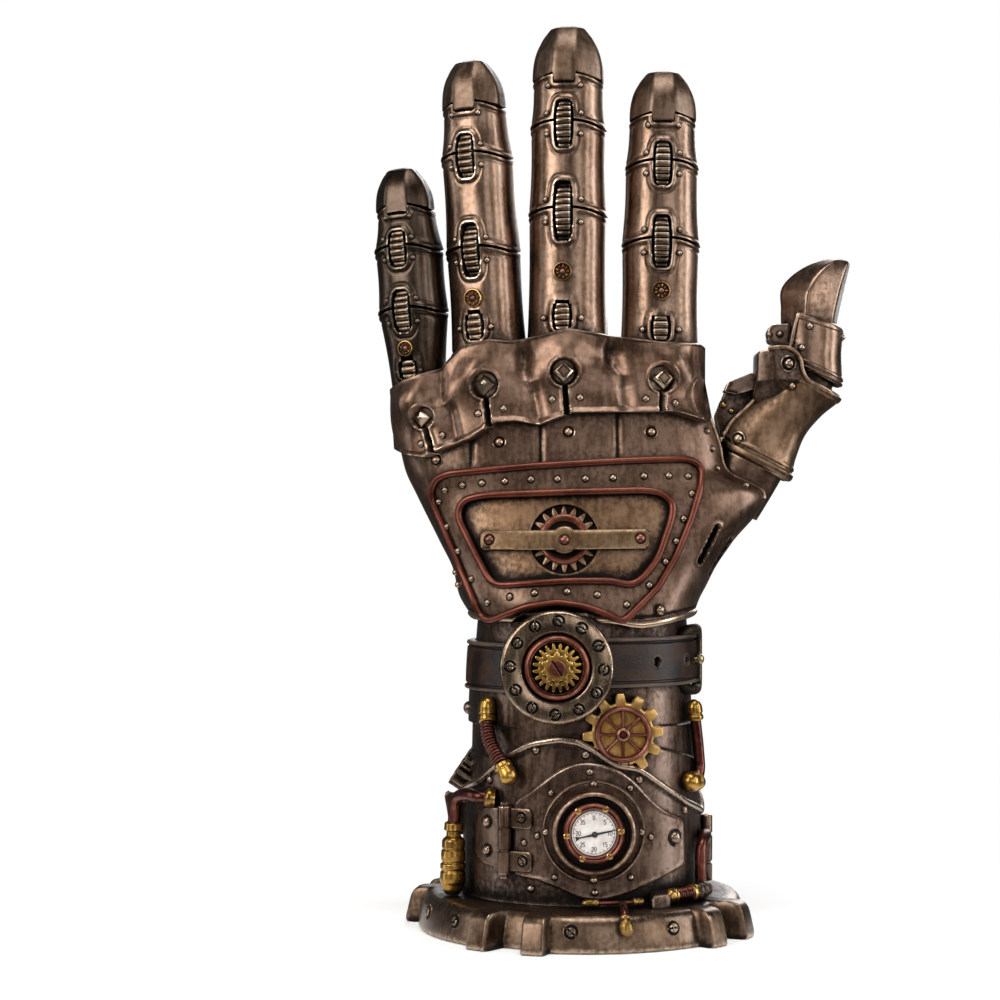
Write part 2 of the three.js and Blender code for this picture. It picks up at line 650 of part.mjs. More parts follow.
// Pipes and hoses. Each way's points are turns, heights and lifts off the forearm; each bore's
// rows are fractions of the way and radii.
const PIPES = [
  {
    name: "coil_hose", finish: "copper", level: false,
    way: [
      { turn: -52, z: 65.4, lift: 3 },
      { turn: -52, z: 60, lift: 3 },
      { turn: -47, z: 54, lift: 4.6 },
      { turn: -38, z: 47.6, lift: 5.4 },
      { turn: -32, z: 43, lift: 6.4 },
    ],
    bore: [
      { at: 0, radius: 1.6 },
      { at: 0.03, radius: 2.3 },
      { at: 0.27, radius: 2.3 },
      { at: 0.29, radius: 1.7 },
      { at: 0.55, radius: 1.7 },
      { at: 0.8, radius: 1.7 },
      { at: 0.82, radius: 2.3 },
      { at: 0.98, radius: 2.3 },
      { at: 1, radius: 1.7 },
    ],
  },
  {
    name: "side_pipe", finish: "copper", level: false,
    way: [
      { turn: 66, z: 64.2, lift: 2.6 },
      { turn: 67, z: 58, lift: 2.9 },
      { turn: 69, z: 50, lift: 3.2 },
      { turn: 69, z: 44.5, lift: 3.4 },
      { turn: 64, z: 42, lift: 3.4 },
      { turn: 54, z: 42.4, lift: 3.2 },
    ],
    bore: [
      { at: 0, radius: 1.4 },
      { at: 0.02, radius: 2 },
      { at: 0.18, radius: 2 },
      { at: 0.2, radius: 1.5 },
      { at: 0.5, radius: 1.5 },
      { at: 0.66, radius: 1.5 },
      { at: 0.78, radius: 1.5 },
      { at: 0.8, radius: 2.2 },
      { at: 0.98, radius: 2.2 },
      { at: 1, radius: 1.6 },
    ],
  },
  {
    name: "valve_pipe", finish: "brass", level: false,
    way: [
      { turn: -49, z: 38.2, lift: 5 },
      { turn: -60, z: 38.8, lift: 5.6 },
      { turn: -69, z: 36.8, lift: 6.2 },
      { turn: -72, z: 31.5, lift: 6.4 },
      { turn: -72, z: 24, lift: 6.5 },
      { turn: -72, z: 10.4, lift: 6.5 },
    ],
    bore: [
      { at: 0, radius: 1.9 },
      { at: 0.03, radius: 2.2 },
      { at: 0.06, radius: 2.2 },
      { at: 0.08, radius: 1.6 },
      { at: 0.2, radius: 1.6 },
      { at: 0.32, radius: 1.6 },
      { at: 0.42, radius: 1.6 },
      { at: 0.52, radius: 1.6 },
      { at: 0.54, radius: 2.6 },
      { at: 0.6, radius: 2.6 },
      { at: 0.62, radius: 1.9 },
      { at: 0.66, radius: 1.9 },
      { at: 0.69, radius: 3.4 },
      { at: 0.9, radius: 3.6 },
      { at: 0.97, radius: 3 },
      { at: 1, radius: 1.8 },
    ],
  },
  {
    name: "riser_pipe", finish: "copper", level: false,
    way: [
      { turn: 66, z: 25, lift: 6 },
      { turn: 73, z: 24.6, lift: 6.2 },
      { turn: 76, z: 21.5, lift: 6.2 },
      { turn: 76, z: 10.4, lift: 6.2 },
    ],
    bore: [
      { at: 0, radius: 1.2 },
      { at: 0.04, radius: 1.8 },
      { at: 0.14, radius: 1.8 },
      { at: 0.2, radius: 1.4 },
      { at: 0.34, radius: 1.4 },
      { at: 0.5, radius: 1.4 },
      { at: 0.85, radius: 1.4 },
      { at: 0.87, radius: 2 },
      { at: 1, radius: 2 },
    ],
  },
  {
    name: "floor_hose", finish: "copper", level: true,
    way: [
      { turn: 35, z: 12.6, lift: 6.2 },
      { turn: 44, z: 12.7, lift: 6.3 },
      { turn: 54, z: 12.8, lift: 6.4 },
      { turn: 63, z: 13, lift: 6.8 },
    ],
    bore: [
      { at: 0, radius: 1.9 },
      { at: 0.24, radius: 1.9 },
      { at: 0.26, radius: 1.6 },
      { at: 0.5, radius: 1.6 },
      { at: 0.52, radius: 2.2 },
      { at: 0.66, radius: 2.2 },
      { at: 0.68, radius: 1.6 },
      { at: 0.97, radius: 1.6 },
      { at: 1, radius: 1 },
    ],
  },
  {
    name: "drip_pipe", finish: "brass", level: true,
    way: [
      { turn: -2, z: 11.7, lift: 5.8 },
      { turn: 8, z: 11.7, lift: 5.8 },
      { turn: 17, z: 11.7, lift: 5.8 },
      { turn: 25, z: 11.7, lift: 5.8 },
    ],
    bore: [
      { at: 0, radius: 0.9 },
      { at: 0.03, radius: 1.3 },
      { at: 0.22, radius: 1.3 },
      { at: 0.24, radius: 0.8 },
      { at: 0.5, radius: 0.8 },
      { at: 0.76, radius: 0.8 },
      { at: 0.78, radius: 1.3 },
      { at: 0.97, radius: 1.3 },
      { at: 1, radius: 0.9 },
    ],
  },
];
const PIPE_SIDES = 6;

function addPipes() {
  for (const { name, finish, level, way, bore } of PIPES) {
    const points = way.map(({ turn, z, lift }) => onForearm(radians(turn), z, lift));
    const up = level ? new THREE.Vector3(0, 0, 1) : new THREE.Vector3(0, 1, 0);
    addPiece(name, pipe(points, bore, PIPE_SIDES, up), finish);
  }
}

// Back of the hand: core with knuckle studs and side slots, shield, piping, gear and bar
const KEYHOLES = [
  { x: -44.2, z: 141.6, radius: 3.2, foot: { x: -40.2, z: 128 } },
  { x: -27.3, z: 150.5, radius: 3.9, foot: { x: -25.8, z: 138 } },
  { x: -5.5, z: 154, radius: 3.9, foot: { x: -4.6, z: 140 } },
  { x: 21.6, z: 152.3, radius: 3.9, foot: { x: 20.9, z: 140 } },
];
const SIDE_SLOTS = [
  { from: { x: 36.4, z: 111.5 }, to: { x: 31.8, z: 102.4 } },
  { from: { x: 40.4, z: 107.9 }, to: { x: 35.2, z: 99.1 } },
];
const SHIELD_OUTLINE = [
  { x: -42.2, z: 126, round: 4 },
  { x: 33, z: 130.6, round: 3.5 },
  { x: 28.8, z: 113.6, round: 7 },
  { x: 10.1, z: 85.9, round: 2 },
  { x: -7.8, z: 94, round: 11 },
  { x: -26.9, z: 85.6, round: 3 },
  { x: -37.4, z: 109, round: 9 },
];
const PANEL_OUTLINE = [
  { x: -35.2, z: 120, round: 3.5 },
  { x: 24.8, z: 122, round: 4 },
  { x: 19.6, z: 103.1, round: 6 },
  { x: 13, z: 95, round: 3 },
  { x: -25.2, z: 95.4, round: 3 },
];
const BAR_OUTLINE = [
  { x: -28.2, z: 105.6, round: 1 },
  { x: -5.6, z: 105.2, round: 3 },
  { x: 17.2, z: 106, round: 1 },
  { x: 17.2, z: 111.4, round: 1 },
  { x: -5.6, z: 111, round: 3 },
  { x: -28.2, z: 111, round: 1 },
];

const PINKY_NOTCH_EDGE = -34.4;
const ARCH_CLEARANCE = 1.2;
const SLOT_CUT = { half: 0.95, depth: 2 };
const STUD = { share: 0.78, height: 2.6, sink: 0.6 };

function addHand() {
  const pinky = FINGERS.find((finger) => finger.name === "pinky");
  const notch = rectangle(2 * HAND[0].left, PINKY_NOTCH_EDGE, pinky.z - 3 * GAP, 2 * pinky.z, 0);
  let core = handSolid(0)
    .subtract(frontPrism(notch, -SIGHT.front, SIGHT.front))
    .subtract(frontPrism(disc(DIAL.x, DIAL.z, DIAL.radius + ARCH_CLEARANCE, 24), DIAL.radius));
  const floor = handSolid(-SLOT_CUT.depth);
  for (const { from, to } of SIDE_SLOTS) {
    core = core.subtract(frontPrism(strip(from, to, SLOT_CUT.half), 0).subtract(floor));
  }
  for (const { x, z, radius } of KEYHOLES) {
    const stud = new THREE.ConeGeometry(radius * STUD.share, STUD.height, 4);
    stud.rotateX(-Math.PI / 2);
    stud.translate(x, handFront(x, z, STUD.sink), z);
    core = core.add(toSolid(stud));
  }
  addPiece("hand_core", core, "plate");

  const shape = roundedShape(SHIELD_OUTLINE);
  const panel = roundedShape(PANEL_OUTLINE);
  const { x, z, teeth, root, radius, bore } = SHIELD_GEAR;
  const shield = handSolid(SHIELD_THICK).subtract(handSolid(GAP))
    .intersect(frontPrism(shape))
    .subtract(frontPrism(panel).subtract(handSolid(PANEL_THICK)))
    .subtract(frontPrism(disc(x, z, radius + 2 * GAP, 20)));
  addPiece("back_shield", shield, "plate");
  const pipingLift = SHIELD_THICK + GAP + PIPING_RADIUS;
  addPiece("piping_outer", beadOnHand(shape, 42, pipingLift), "copper");
  addPiece("piping_inner", beadOnHand(panel, 32, pipingLift), "copper");

  const toothed = gearShape(x, z, teeth, root, radius);
  toothed.holes.push(roundHole(x, z, bore, 12));
  const gear = handSolid(PANEL_THICK).subtract(handSolid(GAP)).intersect(frontPrism(toothed));
  addPiece("shield_gear", gear, "copper");
  const bar = handSolid(PANEL_THICK + GAP + SHIELD_BAR_THICK).subtract(handSolid(PANEL_THICK + GAP))
    .intersect(frontPrism(roundedShape(BAR_OUTLINE)));
  addPiece("shield_bar", bar, "bronze");
}

// Knuckle guard: one plate draped over the four knuckles, scalloped below, with keyholes
const GUARD_EDGE = [
  { x: -54, low: 134, high: 149 },
  { x: -48.7, low: 131.3, high: 151.5 },
  { x: -44.6, low: 130.6, high: 153 },
  { x: -38, low: 133.6, high: 155.4 },
  { x: -32.5, low: 135.6, high: 161.3 },
  { x: -25, low: 140.1, high: 163.1 },
  { x: -19.7, low: 140.4, high: 162.6 },
  { x: -14.2, low: 139.3, high: 163.6 },
  { x: -4.4, low: 142.7, high: 166.1 },
  { x: 8.8, low: 142.8, high: 163.8 },
  { x: 20.9, low: 143.1, high: 162.4 },
  { x: 31, low: 140, high: 162.3 },
  { x: 36, low: 145, high: 160 },
];

const GUARD_SPAN = { from: -80, to: 78, columns: 25, middle: 150 };
const GUARD_LEVELS = [0, 0.3, 0.65, 1];
const GUARD_ENDS = { thick: 1.3, reach: 26 };
const KNUCKLE = { spread: 6.5, bottom: 0.2, top: 0.85 };
const SLIT_HALF = 1;

// Thickness of the guard: thin at its ends, with a rise over each knuckle
function guardLift(degrees, x, level) {
  const inward = Math.min(degrees - GUARD_SPAN.from, GUARD_SPAN.to - degrees) / GUARD_ENDS.reach;
  const plate = THREE.MathUtils.lerp(GUARD_ENDS.thick, GUARD_THICK, Math.min(inward, 1));
  const bumps = KEYHOLES.reduce((sum, hole) => sum + Math.exp(-(((x - hole.x) / KNUCKLE.spread) ** 2)), 0);
  const arch = Math.sin(Math.PI * THREE.MathUtils.lerp(KNUCKLE.bottom, KNUCKLE.top, level));
  return plate + KNUCKLE_RISE * bumps * arch * Math.min(inward, 1);
}

function addGuard() {
  const { from, to, columns } = GUARD_SPAN;
  const rings = Array.from({ length: columns }, (_, place) => {
    const degrees = THREE.MathUtils.lerp(from, to, place / (columns - 1));
    const angle = radians(degrees);
    const middle = onHand(angle, GUARD_SPAN.middle, 0).x;
    const low = column(GUARD_EDGE, "low", middle, "x");
    const high = column(GUARD_EDGE, "high", middle, "x");
    const heights = GUARD_LEVELS.map((level) => THREE.MathUtils.lerp(low, high, level));
    const lifts = GUARD_LEVELS.map((level) => guardLift(degrees, middle, level));
    const outside = heights.map((z, row) => onHand(angle, z, lifts[row]));
    const inside = heights.map((z) => onHand(angle, z, GAP)).reverse();
    return [...outside, ...inside];
  });
  let guard = loft(rings);
  for (const { x, z, radius, foot } of KEYHOLES) {
    guard = guard.subtract(frontPrism(disc(x, z, radius, 8)));
    guard = guard.subtract(frontPrism(strip({ x, z }, foot, SLIT_HALF)));
  }
  addPiece("knuckle_guard", guard, "bronze");
}

// Fingers: each in a group of its own, along its local +Z with its back to local -Y
const TIP_ROWS = [
  { along: 0.46, share: 0.89 },
  { along: 0.82, share: 0.66 },
  { along: 1, share: 0.3 },
];
const TIP_SQUARE = 3;

function fingerRing({ at, half, bow = 0, square = FINGER_SQUARE }) {
  return turnsOf(FINGER_SIDES).map((turn) => {
    const point = superPoint(turn, half, half, square);
    return new THREE.Vector3(point.x, point.y, at + bow * Math.cos(2 * turn));
  });
}

function fingerSolid(rows) {
  return loft(rows.map(fingerRing));
}

function segmentRows(from, to, low, high) {
  return [
    { at: from, half: low - EDGE.depth, bow: JOINT_BOW },
    { at: from + EDGE.height, half: low, bow: JOINT_BOW },
    { at: to - EDGE.height, half: high, bow: JOINT_BOW },
    { at: to, half: high - EDGE.depth, bow: JOINT_BOW },
  ];
}

// Ribbed wheel of a joint, cut off below the finger's skin, and the slot that it sits in
function jointWheel(at, radius, slotHalf) {
  const rim = radius + WHEEL.rise;
  const reach = Math.asin((slotHalf - GAP) / rim);
  const floor = radius - SLOT_DEPTH + GAP;
  const shape = new THREE.Shape();
  shape.moveTo(slotHalf - GAP, floor);
  for (let corner = 0; corner <= WHEEL.ribs * 2; corner += 1) {
    const angle = reach * (1 - corner / WHEEL.ribs);
    const out = corner % 2 === 1 ? rim : rim - WHEEL.ribDepth;
    shape.lineTo(out * Math.sin(angle), out * Math.cos(angle));
  }
  shape.lineTo(-(slotHalf - GAP), floor);
  shape.closePath();
  const geometry = new THREE.ExtrudeGeometry(shape, { depth: WHEEL_WIDTH, bevelEnabled: false });
  geometry.translate(0, 0, -WHEEL_WIDTH / 2);
  const along = new THREE.Vector3(0, 0, 1);
  const back = new THREE.Vector3(0, -1, 0);
  geometry.applyMatrix4(new THREE.Matrix4().makeBasis(along, back, new THREE.Vector3(1, 0, 0)));
  geometry.translate(0, 0, at);
  return toSolid(geometry);
}

function jointSlot(at, radius, slotHalf) {
  const slot = new THREE.BoxGeometry(SLOT_WIDTH, SLOT_DEPTH * 2, slotHalf * 2);
  slot.translate(0, -radius, at);
  return toSolid(slot);
}

function addFinger(finger) {
  const group = new THREE.Group();
  group.position.set(finger.x, 0, finger.z);
  group.rotation.set(0, radians(finger.lean), radians(finger.turn));
  gauntlet.add(group);
  const { name, bend, knuckle, cap, top } = finger;
  const half = GAP / 2;
  const slots = jointSlot(bend, finger.waist, finger.bendSlot)
    .add(jointSlot(knuckle, finger.upper, finger.knuckleSlot));
  const proximal = segmentRows(0, bend - half, finger.seat, finger.waist);
  proximal[0].bow = 0;
  proximal[1].bow = 0;
  const middle = segmentRows(bend + half, knuckle - half, finger.waist, finger.upper);
  const distal = segmentRows(knuckle + half, cap - half, finger.upper, finger.neck);
  const tip = [
    { at: cap + half, half: finger.neck - EDGE.depth, bow: JOINT_BOW, square: TIP_SQUARE },
    { at: cap + half + EDGE.height, half: finger.neck, bow: JOINT_BOW, square: TIP_SQUARE },
    ...TIP_ROWS.map(({ along, share }) => ({
      at: THREE.MathUtils.lerp(cap, top, along),
      half: finger.neck * share,
      square: TIP_SQUARE,
    })),
  ];
  addPiece(`${name}_proximal`, fingerSolid(proximal).subtract(slots), "bronze", group);
  addPiece(`${name}_middle`, fingerSolid(middle).subtract(slots), "bronze", group);
  addPiece(`${name}_distal`, fingerSolid(distal).subtract(slots), "bronze", group);
  addPiece(`${name}_tip`, fingerSolid(tip), "bronze", group);
  addPiece(`${name}_wheel_low`, jointWheel(bend, finger.waist, finger.bendSlot), "plate", group);
  addPiece(`${name}_wheel_high`, jointWheel(knuckle, finger.upper, finger.knuckleSlot), "plate", group);
}

// Thumb: sections given by centre, half width, half depth and tilt towards +X in degrees
const THUMB = {
  socket: [
    { x: 44.6, z: 120.6, half: 7.6, deep: 7.6, tilt: 30 },
    { x: 48.4, z: 127.8, half: 8, deep: 8, tilt: 27 },
  ],
  sleeve: [
    { x: 48.7, z: 128.4, half: 9.4, deep: 9.2, tilt: 27 },
    { x: 49.3, z: 129.3, half: 10, deep: 9.8, tilt: 27 },
    { x: 55.2, z: 140.8, half: 8.3, deep: 8.6, tilt: 27 },
    { x: 63.7, z: 151.2, half: 9.7, deep: 9.4, tilt: 26 },
    { x: 64.2, z: 151.9, half: 9.2, deep: 8.9, tilt: 26 },
  ],
  ring: [
    { x: 64.3, z: 154.4, half: 8.9, deep: 8.8, tilt: 25 },
    { x: 64.3, z: 155.2, half: 9.5, deep: 9.3, tilt: 24 },
    { x: 64.2, z: 162.5, half: 9.4, deep: 9.1, tilt: 20 },
    { x: 64, z: 169.4, half: 9.5, deep: 9, tilt: 17 },
    { x: 63.9, z: 170, half: 8.9, deep: 8.4, tilt: 17 },
  ],
  tip: [
    { x: 63.7, z: 170.5, half: 8.2, deep: 7.8, tilt: 16 },
    { x: 64.4, z: 176, half: 8.6, deep: 7.8, tilt: 12 },
    { x: 66.3, z: 180.3, half: 7.7, deep: 6.6, tilt: 9 },
    { x: 69.1, z: 183.9, half: 5.8, deep: 4.8, tilt: 8 },
    { x: 71.9, z: 186, half: 3.4, deep: 2.6, tilt: 8 },
  ],
};
const THUMB_SIDES = 14;
const THUMB_SQUARE = 2.3;
const THUMB_BACKSET = 2;
const THUMB_LINK = [
  { x: 48.4, z: 152.6, round: 1.4 },
  { x: 58.6, z: 149, round: 1.4 },
  { x: 62.2, z: 157.4, round: 3 },
  { x: 59.4, z: 161.6, round: 3 },
  { x: 48.6, z: 160, round: 1.2 },
];
const THUMB_LAME = [
  { x: 37.2, z: 142.6, round: 1 },
  { x: 38.4, z: 136.4, round: 1 },
  { x: 41, z: 133.6, round: 1 },
  { x: 58, z: 152, round: 1 },
  { x: 50, z: 154.4, round: 1 },
  { x: 40.8, z: 151, round: 1.4 },
];
const LINK_DEPTH = { back: -6, front: 7.4, rivet: 8.6 };
const LAME_DEPTH = { back: -5, front: 4.6 };
const LINK_RIVET = { x: 57.2, z: 156.8, radius: 2.6 };
const RING_LUG = { left: 51.7, right: 58, bottom: 162.2, top: 168.2, round: 1.2, back: -3, front: 3.6 };

function thumbSolid(rows, grow = 0) {
  return loft(rows.map((row) => turnsOf(THUMB_SIDES).map((turn) => {
    const point = superPoint(turn, row.half + grow, row.deep + grow, THUMB_SQUARE);
    const tilt = radians(row.tilt);
    return new THREE.Vector3(
      row.x + point.x * Math.cos(tilt),
      point.y + THUMB_BACKSET,
      row.z - point.x * Math.sin(tilt),
    );
  })));
}

function addThumb() {
  const hand = handSolid(GAP);
  addPiece("thumb_socket", thumbSolid(THUMB.socket).subtract(hand), "plate");
  addPiece("thumb_sleeve", thumbSolid(THUMB.sleeve).subtract(hand), "bronze");
  const { left, right, bottom, top, round, back, front } = RING_LUG;
  const lug = frontPrism(rectangle(left, right, bottom, top, round), back, front);
  addPiece("thumb_ring", thumbSolid(THUMB.ring).add(lug), "bronze");
  addPiece("thumb_tip", thumbSolid(THUMB.tip), "bronze");
  const rivet = disc(LINK_RIVET.x, LINK_RIVET.z, LINK_RIVET.radius, 12);
  const link = frontPrism(roundedShape(THUMB_LINK), LINK_DEPTH.back, LINK_DEPTH.front)
    .add(frontPrism(rivet, 0, LINK_DEPTH.rivet))
    .add(frontPrism(roundedShape(THUMB_LAME), LAME_DEPTH.back, LAME_DEPTH.front))
    .subtract(thumbSolid(THUMB.sleeve, GAP))
    .subtract(thumbSolid(THUMB.ring, GAP))
    .subtract(hand);
  addPiece("thumb_link", link, "plate");
}

addStand();
addCuff();
addBuckle();
addHatch();
addHinges();
addWristDial();
addSideGear();
addLeftGear();
addPipes();
addHand();
addGuard();
FINGERS.forEach(addFinger);
addThumb();

export default gauntlet;
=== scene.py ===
import bpy
import numpy as np
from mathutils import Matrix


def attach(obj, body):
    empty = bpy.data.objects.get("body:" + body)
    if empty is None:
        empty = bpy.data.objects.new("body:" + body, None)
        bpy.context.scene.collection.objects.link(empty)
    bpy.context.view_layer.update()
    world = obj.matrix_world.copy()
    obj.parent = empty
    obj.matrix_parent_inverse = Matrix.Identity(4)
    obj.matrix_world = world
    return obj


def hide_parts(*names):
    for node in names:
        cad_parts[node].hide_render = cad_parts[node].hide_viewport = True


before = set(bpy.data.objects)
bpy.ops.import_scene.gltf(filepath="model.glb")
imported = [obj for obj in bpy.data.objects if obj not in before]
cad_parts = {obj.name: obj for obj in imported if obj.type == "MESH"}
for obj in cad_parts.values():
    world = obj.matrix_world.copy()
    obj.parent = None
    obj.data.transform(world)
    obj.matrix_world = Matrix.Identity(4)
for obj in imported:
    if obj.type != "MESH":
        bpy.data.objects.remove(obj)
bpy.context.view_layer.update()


# Gear stand: a low round foot with four pairs of chunky teeth and plain arcs between them, cold-cast
# in resin with a bronze coat that is rubbed bright on its edges. The cuff is cast onto its flat top,
# and slotted screw heads sit in the arcs.
def tint(code):
    """Linear colour of a six-figure sRGB code: each share is raised to the power 2.2."""
    return (*[(int(code[at:at + 2], 16) / 255) ** 2.2 for at in (0, 2, 4)], 1.0)


class Wire:
    """One output socket of a material. Plus, minus and times add Math nodes, and node() any other."""

    def __init__(self, socket):
        self.socket = socket

    def node(self, kind, settings, sockets, out=0):
        """Adds a node of this kind beside the socket: its settings first, then values or wires."""
        tree = self.socket.id_data
        made = tree.nodes.new(kind)
        for key, value in settings.items():
            setattr(made, key, value)
        for key, value in sockets.items():
            if isinstance(value, Wire):
                tree.links.new(value.socket, made.inputs[key])
            else:
                made.inputs[key].default_value = value
        return Wire(made.outputs[out])

    def math(self, operation, first, second):
        return self.node("ShaderNodeMath", {"operation": operation}, {0: first, 1: second})

    def __add__(self, other):
        return self.math("ADD", self, other)

    def __sub__(self, other):
        return self.math("SUBTRACT", self, other)

    def __rsub__(self, other):
        return self.math("SUBTRACT", other, self)

    def __mul__(self, other):
        return self.math("MULTIPLY", self, other)

    __radd__ = __add__
    __rmul__ = __mul__

    def span(self, low, high):
        """Smooth step of this value: 0 at low, 1 at high."""
        settings = {"interpolation_type": "SMOOTHSTEP"}
        return self.node("ShaderNodeMapRange", settings, {0: self, 1: low, 2: high})

    def blend(self, first, second):
        """Colour between two, this value saying how much of the second."""
        return self.node("ShaderNodeMix", {"data_type": "RGBA"}, {0: self, 6: first, 7: second}, 2)

    def noise(self, place, scale, detail=3.0):
        """Soft random value from 0 to 1, with this many clouds to a metre."""
        return self.node("ShaderNodeTexNoise", {}, {"Vector": place, "Scale": scale, "Detail": detail})

    def feed(self, shader, name):
        """Links this value to one of a shader's sockets."""
        self.socket.id_data.links.new(self.socket, shader.inputs[name])


def bare_material(name):
    """New material: itself, its shader, a wire to add nodes from, and the place on the piece in metres."""
    material = bpy.data.materials.new(name)
    material.use_nodes = True
    shader = material.node_tree.nodes["Principled BSDF"]
    start = Wire(shader.outputs[0])
    return material, shader, start, start.node("ShaderNodeTexCoord", {}, {}, "Object")


def antique(name, ground, rubbed, patina_shade_colour, rough=0.36, metal=1.0, speckle=1.0):
    """Coated cast metal: a clouded ground colour, rubbed pale where the surface stands proud (relief),
    darkened to one dark colour where it lies low (patina in the hollows together with painted shade)
    and where neighbours close it in (painted shade from ambient occlusion), with 0.3 mm cast grain."""
    material, shader, start, place = bare_material(name)
    brushed = start.node("ShaderNodeVectorMath", {"operation": "MULTIPLY"}, {0: place, 1: (1.0, 1.0, 0.16)})
    cloud = start.noise(place, 110.0, 4.0)
    streak = start.noise(brushed, 800.0, 4.0)
    fleck = start.noise(place, 800.0, 5.0)
    grain = start.noise(place, 2600.0, 2.0)
    height = start.node("ShaderNodeAttribute", {"attribute_name": "relief"}, {}, "Fac")
    # Ambient occlusion within 4.5 mm: painted shade in crevices, between parts and under overhangs.
    occlusion_shade = start.node("ShaderNodeAmbientOcclusion", {"samples": 6}, {"Distance": 0.0045}, "AO")
    worn = (height + 0.5 * (fleck - 0.5)).span(0.18, 0.6)
    # Patina and painted shade together: low relief, negative tones and occlusion turn a point towards the
    # dark colour, rougher and with less coat.
    patina_and_shade = 1 - (occlusion_shade + 0.9 * height + 0.6 * speckle * (fleck - 0.5)).span(0.34, 0.98)
    mottle = speckle * (0.38 * (streak - 0.5) + 0.34 * (fleck - 0.5))
    shade = (0.5 + 0.5 * (cloud - 0.5) + mottle).span(0.36, 0.63)
    dark = tuple(part * share for part, share in zip(tint(ground), (0.5, 0.445, 0.4, 1.0)))
    colour = patina_and_shade.blend((0.65 * worn).blend(shade.blend(dark, tint(ground)), tint(rubbed)), tint(patina_shade_colour))
    colour.feed(shader, "Base Color")
    brushing = 0.22 * speckle * (streak - 0.5) + 0.16 * (cloud - 0.5)
    (rough + brushing + 0.3 * patina_and_shade - 0.06 * worn).feed(shader, "Roughness")
    (metal - 0.2 * patina_and_shade).feed(shader, "Metallic")
    bumps = {"Height": 0.6 * grain + 0.4 * fleck, "Strength": 0.06 + 0.16 * speckle, "Distance": 0.0002}
    start.node("ShaderNodeBump", {}, bumps).feed(shader, "Normal")
    (0.3 - 0.28 * patina_and_shade).feed(shader, "Coat Weight")
    shader.inputs["Coat Roughness"].default_value = 0.24
    return material


def skin(rings):
    """Closed shell over rows of points whose columns run round: quads between the rows, and a fan from
    the middle of each end row. A stack of such grids gives as many shells."""
    rows, columns = rings.shape[-3:-1]
    batch = rings.reshape(-1, rows, columns, 3)
    at = np.arange(rows * columns).reshape(rows, columns)
    side = np.roll(at, -1, axis=1)
    none = np.full(columns, -1)
    walls = np.stack([at[:-1], side[:-1], side[1:], at[1:]], axis=-1).reshape(-1, 4)
    low = np.stack([side[0], at[0], none + 1 + rows * columns, none], axis=-1)
    high = np.stack([at[-1], side[-1], none + 2 + rows * columns, none], axis=-1)
    faces = np.concatenate([walls, low, high])
    points = np.concatenate([batch.reshape(len(batch), -1, 3), batch[:, [0, -1]].mean(axis=2)], axis=1)
    shift = np.arange(len(batch))[:, None, None] * points.shape[1]
    return points.reshape(-1, 3), np.where(faces < 0, -1, faces + shift).reshape(-1, 4)


def relief(points, faces, rounds=4):
    """How proud each point stands: its distance, along the normal, from what a few rounds of averaging
    with its neighbours make of it, as a share of the edges' mean length there."""
    last = np.where(faces[:, 3] < 0, faces[:, 2], faces[:, 3])
    pairs = np.concatenate([faces[:, :2], faces[:, 1:3], np.stack([faces[:, 2], last], 1),
                            np.stack([last, faces[:, 0]], 1)])
    pairs = pairs[pairs[:, 0] != pairs[:, 1]]
    ends = np.concatenate([pairs[:, 0], pairs[:, 1]])
    others = np.concatenate([pairs[:, 1], pairs[:, 0]])
    count = np.maximum(np.bincount(ends, minlength=len(points)), 1)
    length = np.bincount(ends, np.linalg.norm(points[ends] - points[others], axis=1), len(points)) / count
    smooth = points
    for _ in range(rounds):
        mean = [np.bincount(ends, smooth[others, axis], len(points)) / count for axis in range(3)]
        smooth = 0.5 * smooth + 0.5 * np.stack(mean, axis=1)
    face = np.cross(points[faces[:, 2]] - points[faces[:, 0]], points[last] - points[faces[:, 1]])
    fan = np.cross(points[faces[:, 1]] - points[faces[:, 0]], points[faces[:, 2]] - points[faces[:, 0]])
    face = np.where(faces[:, 3:] < 0, fan, face)
    corners = np.concatenate([faces[:, 0], faces[:, 1], faces[:, 2], last])
    normal = [np.bincount(corners, np.tile(face[:, axis], 4), len(points)) for axis in range(3)]
    normal = np.stack(normal, axis=1)
    normal /= np.maximum(np.linalg.norm(normal, axis=1, keepdims=True), 1e-9)
    return np.clip(((points - smooth) * normal).sum(axis=1) / np.maximum(length, 0.05), -1, 1)


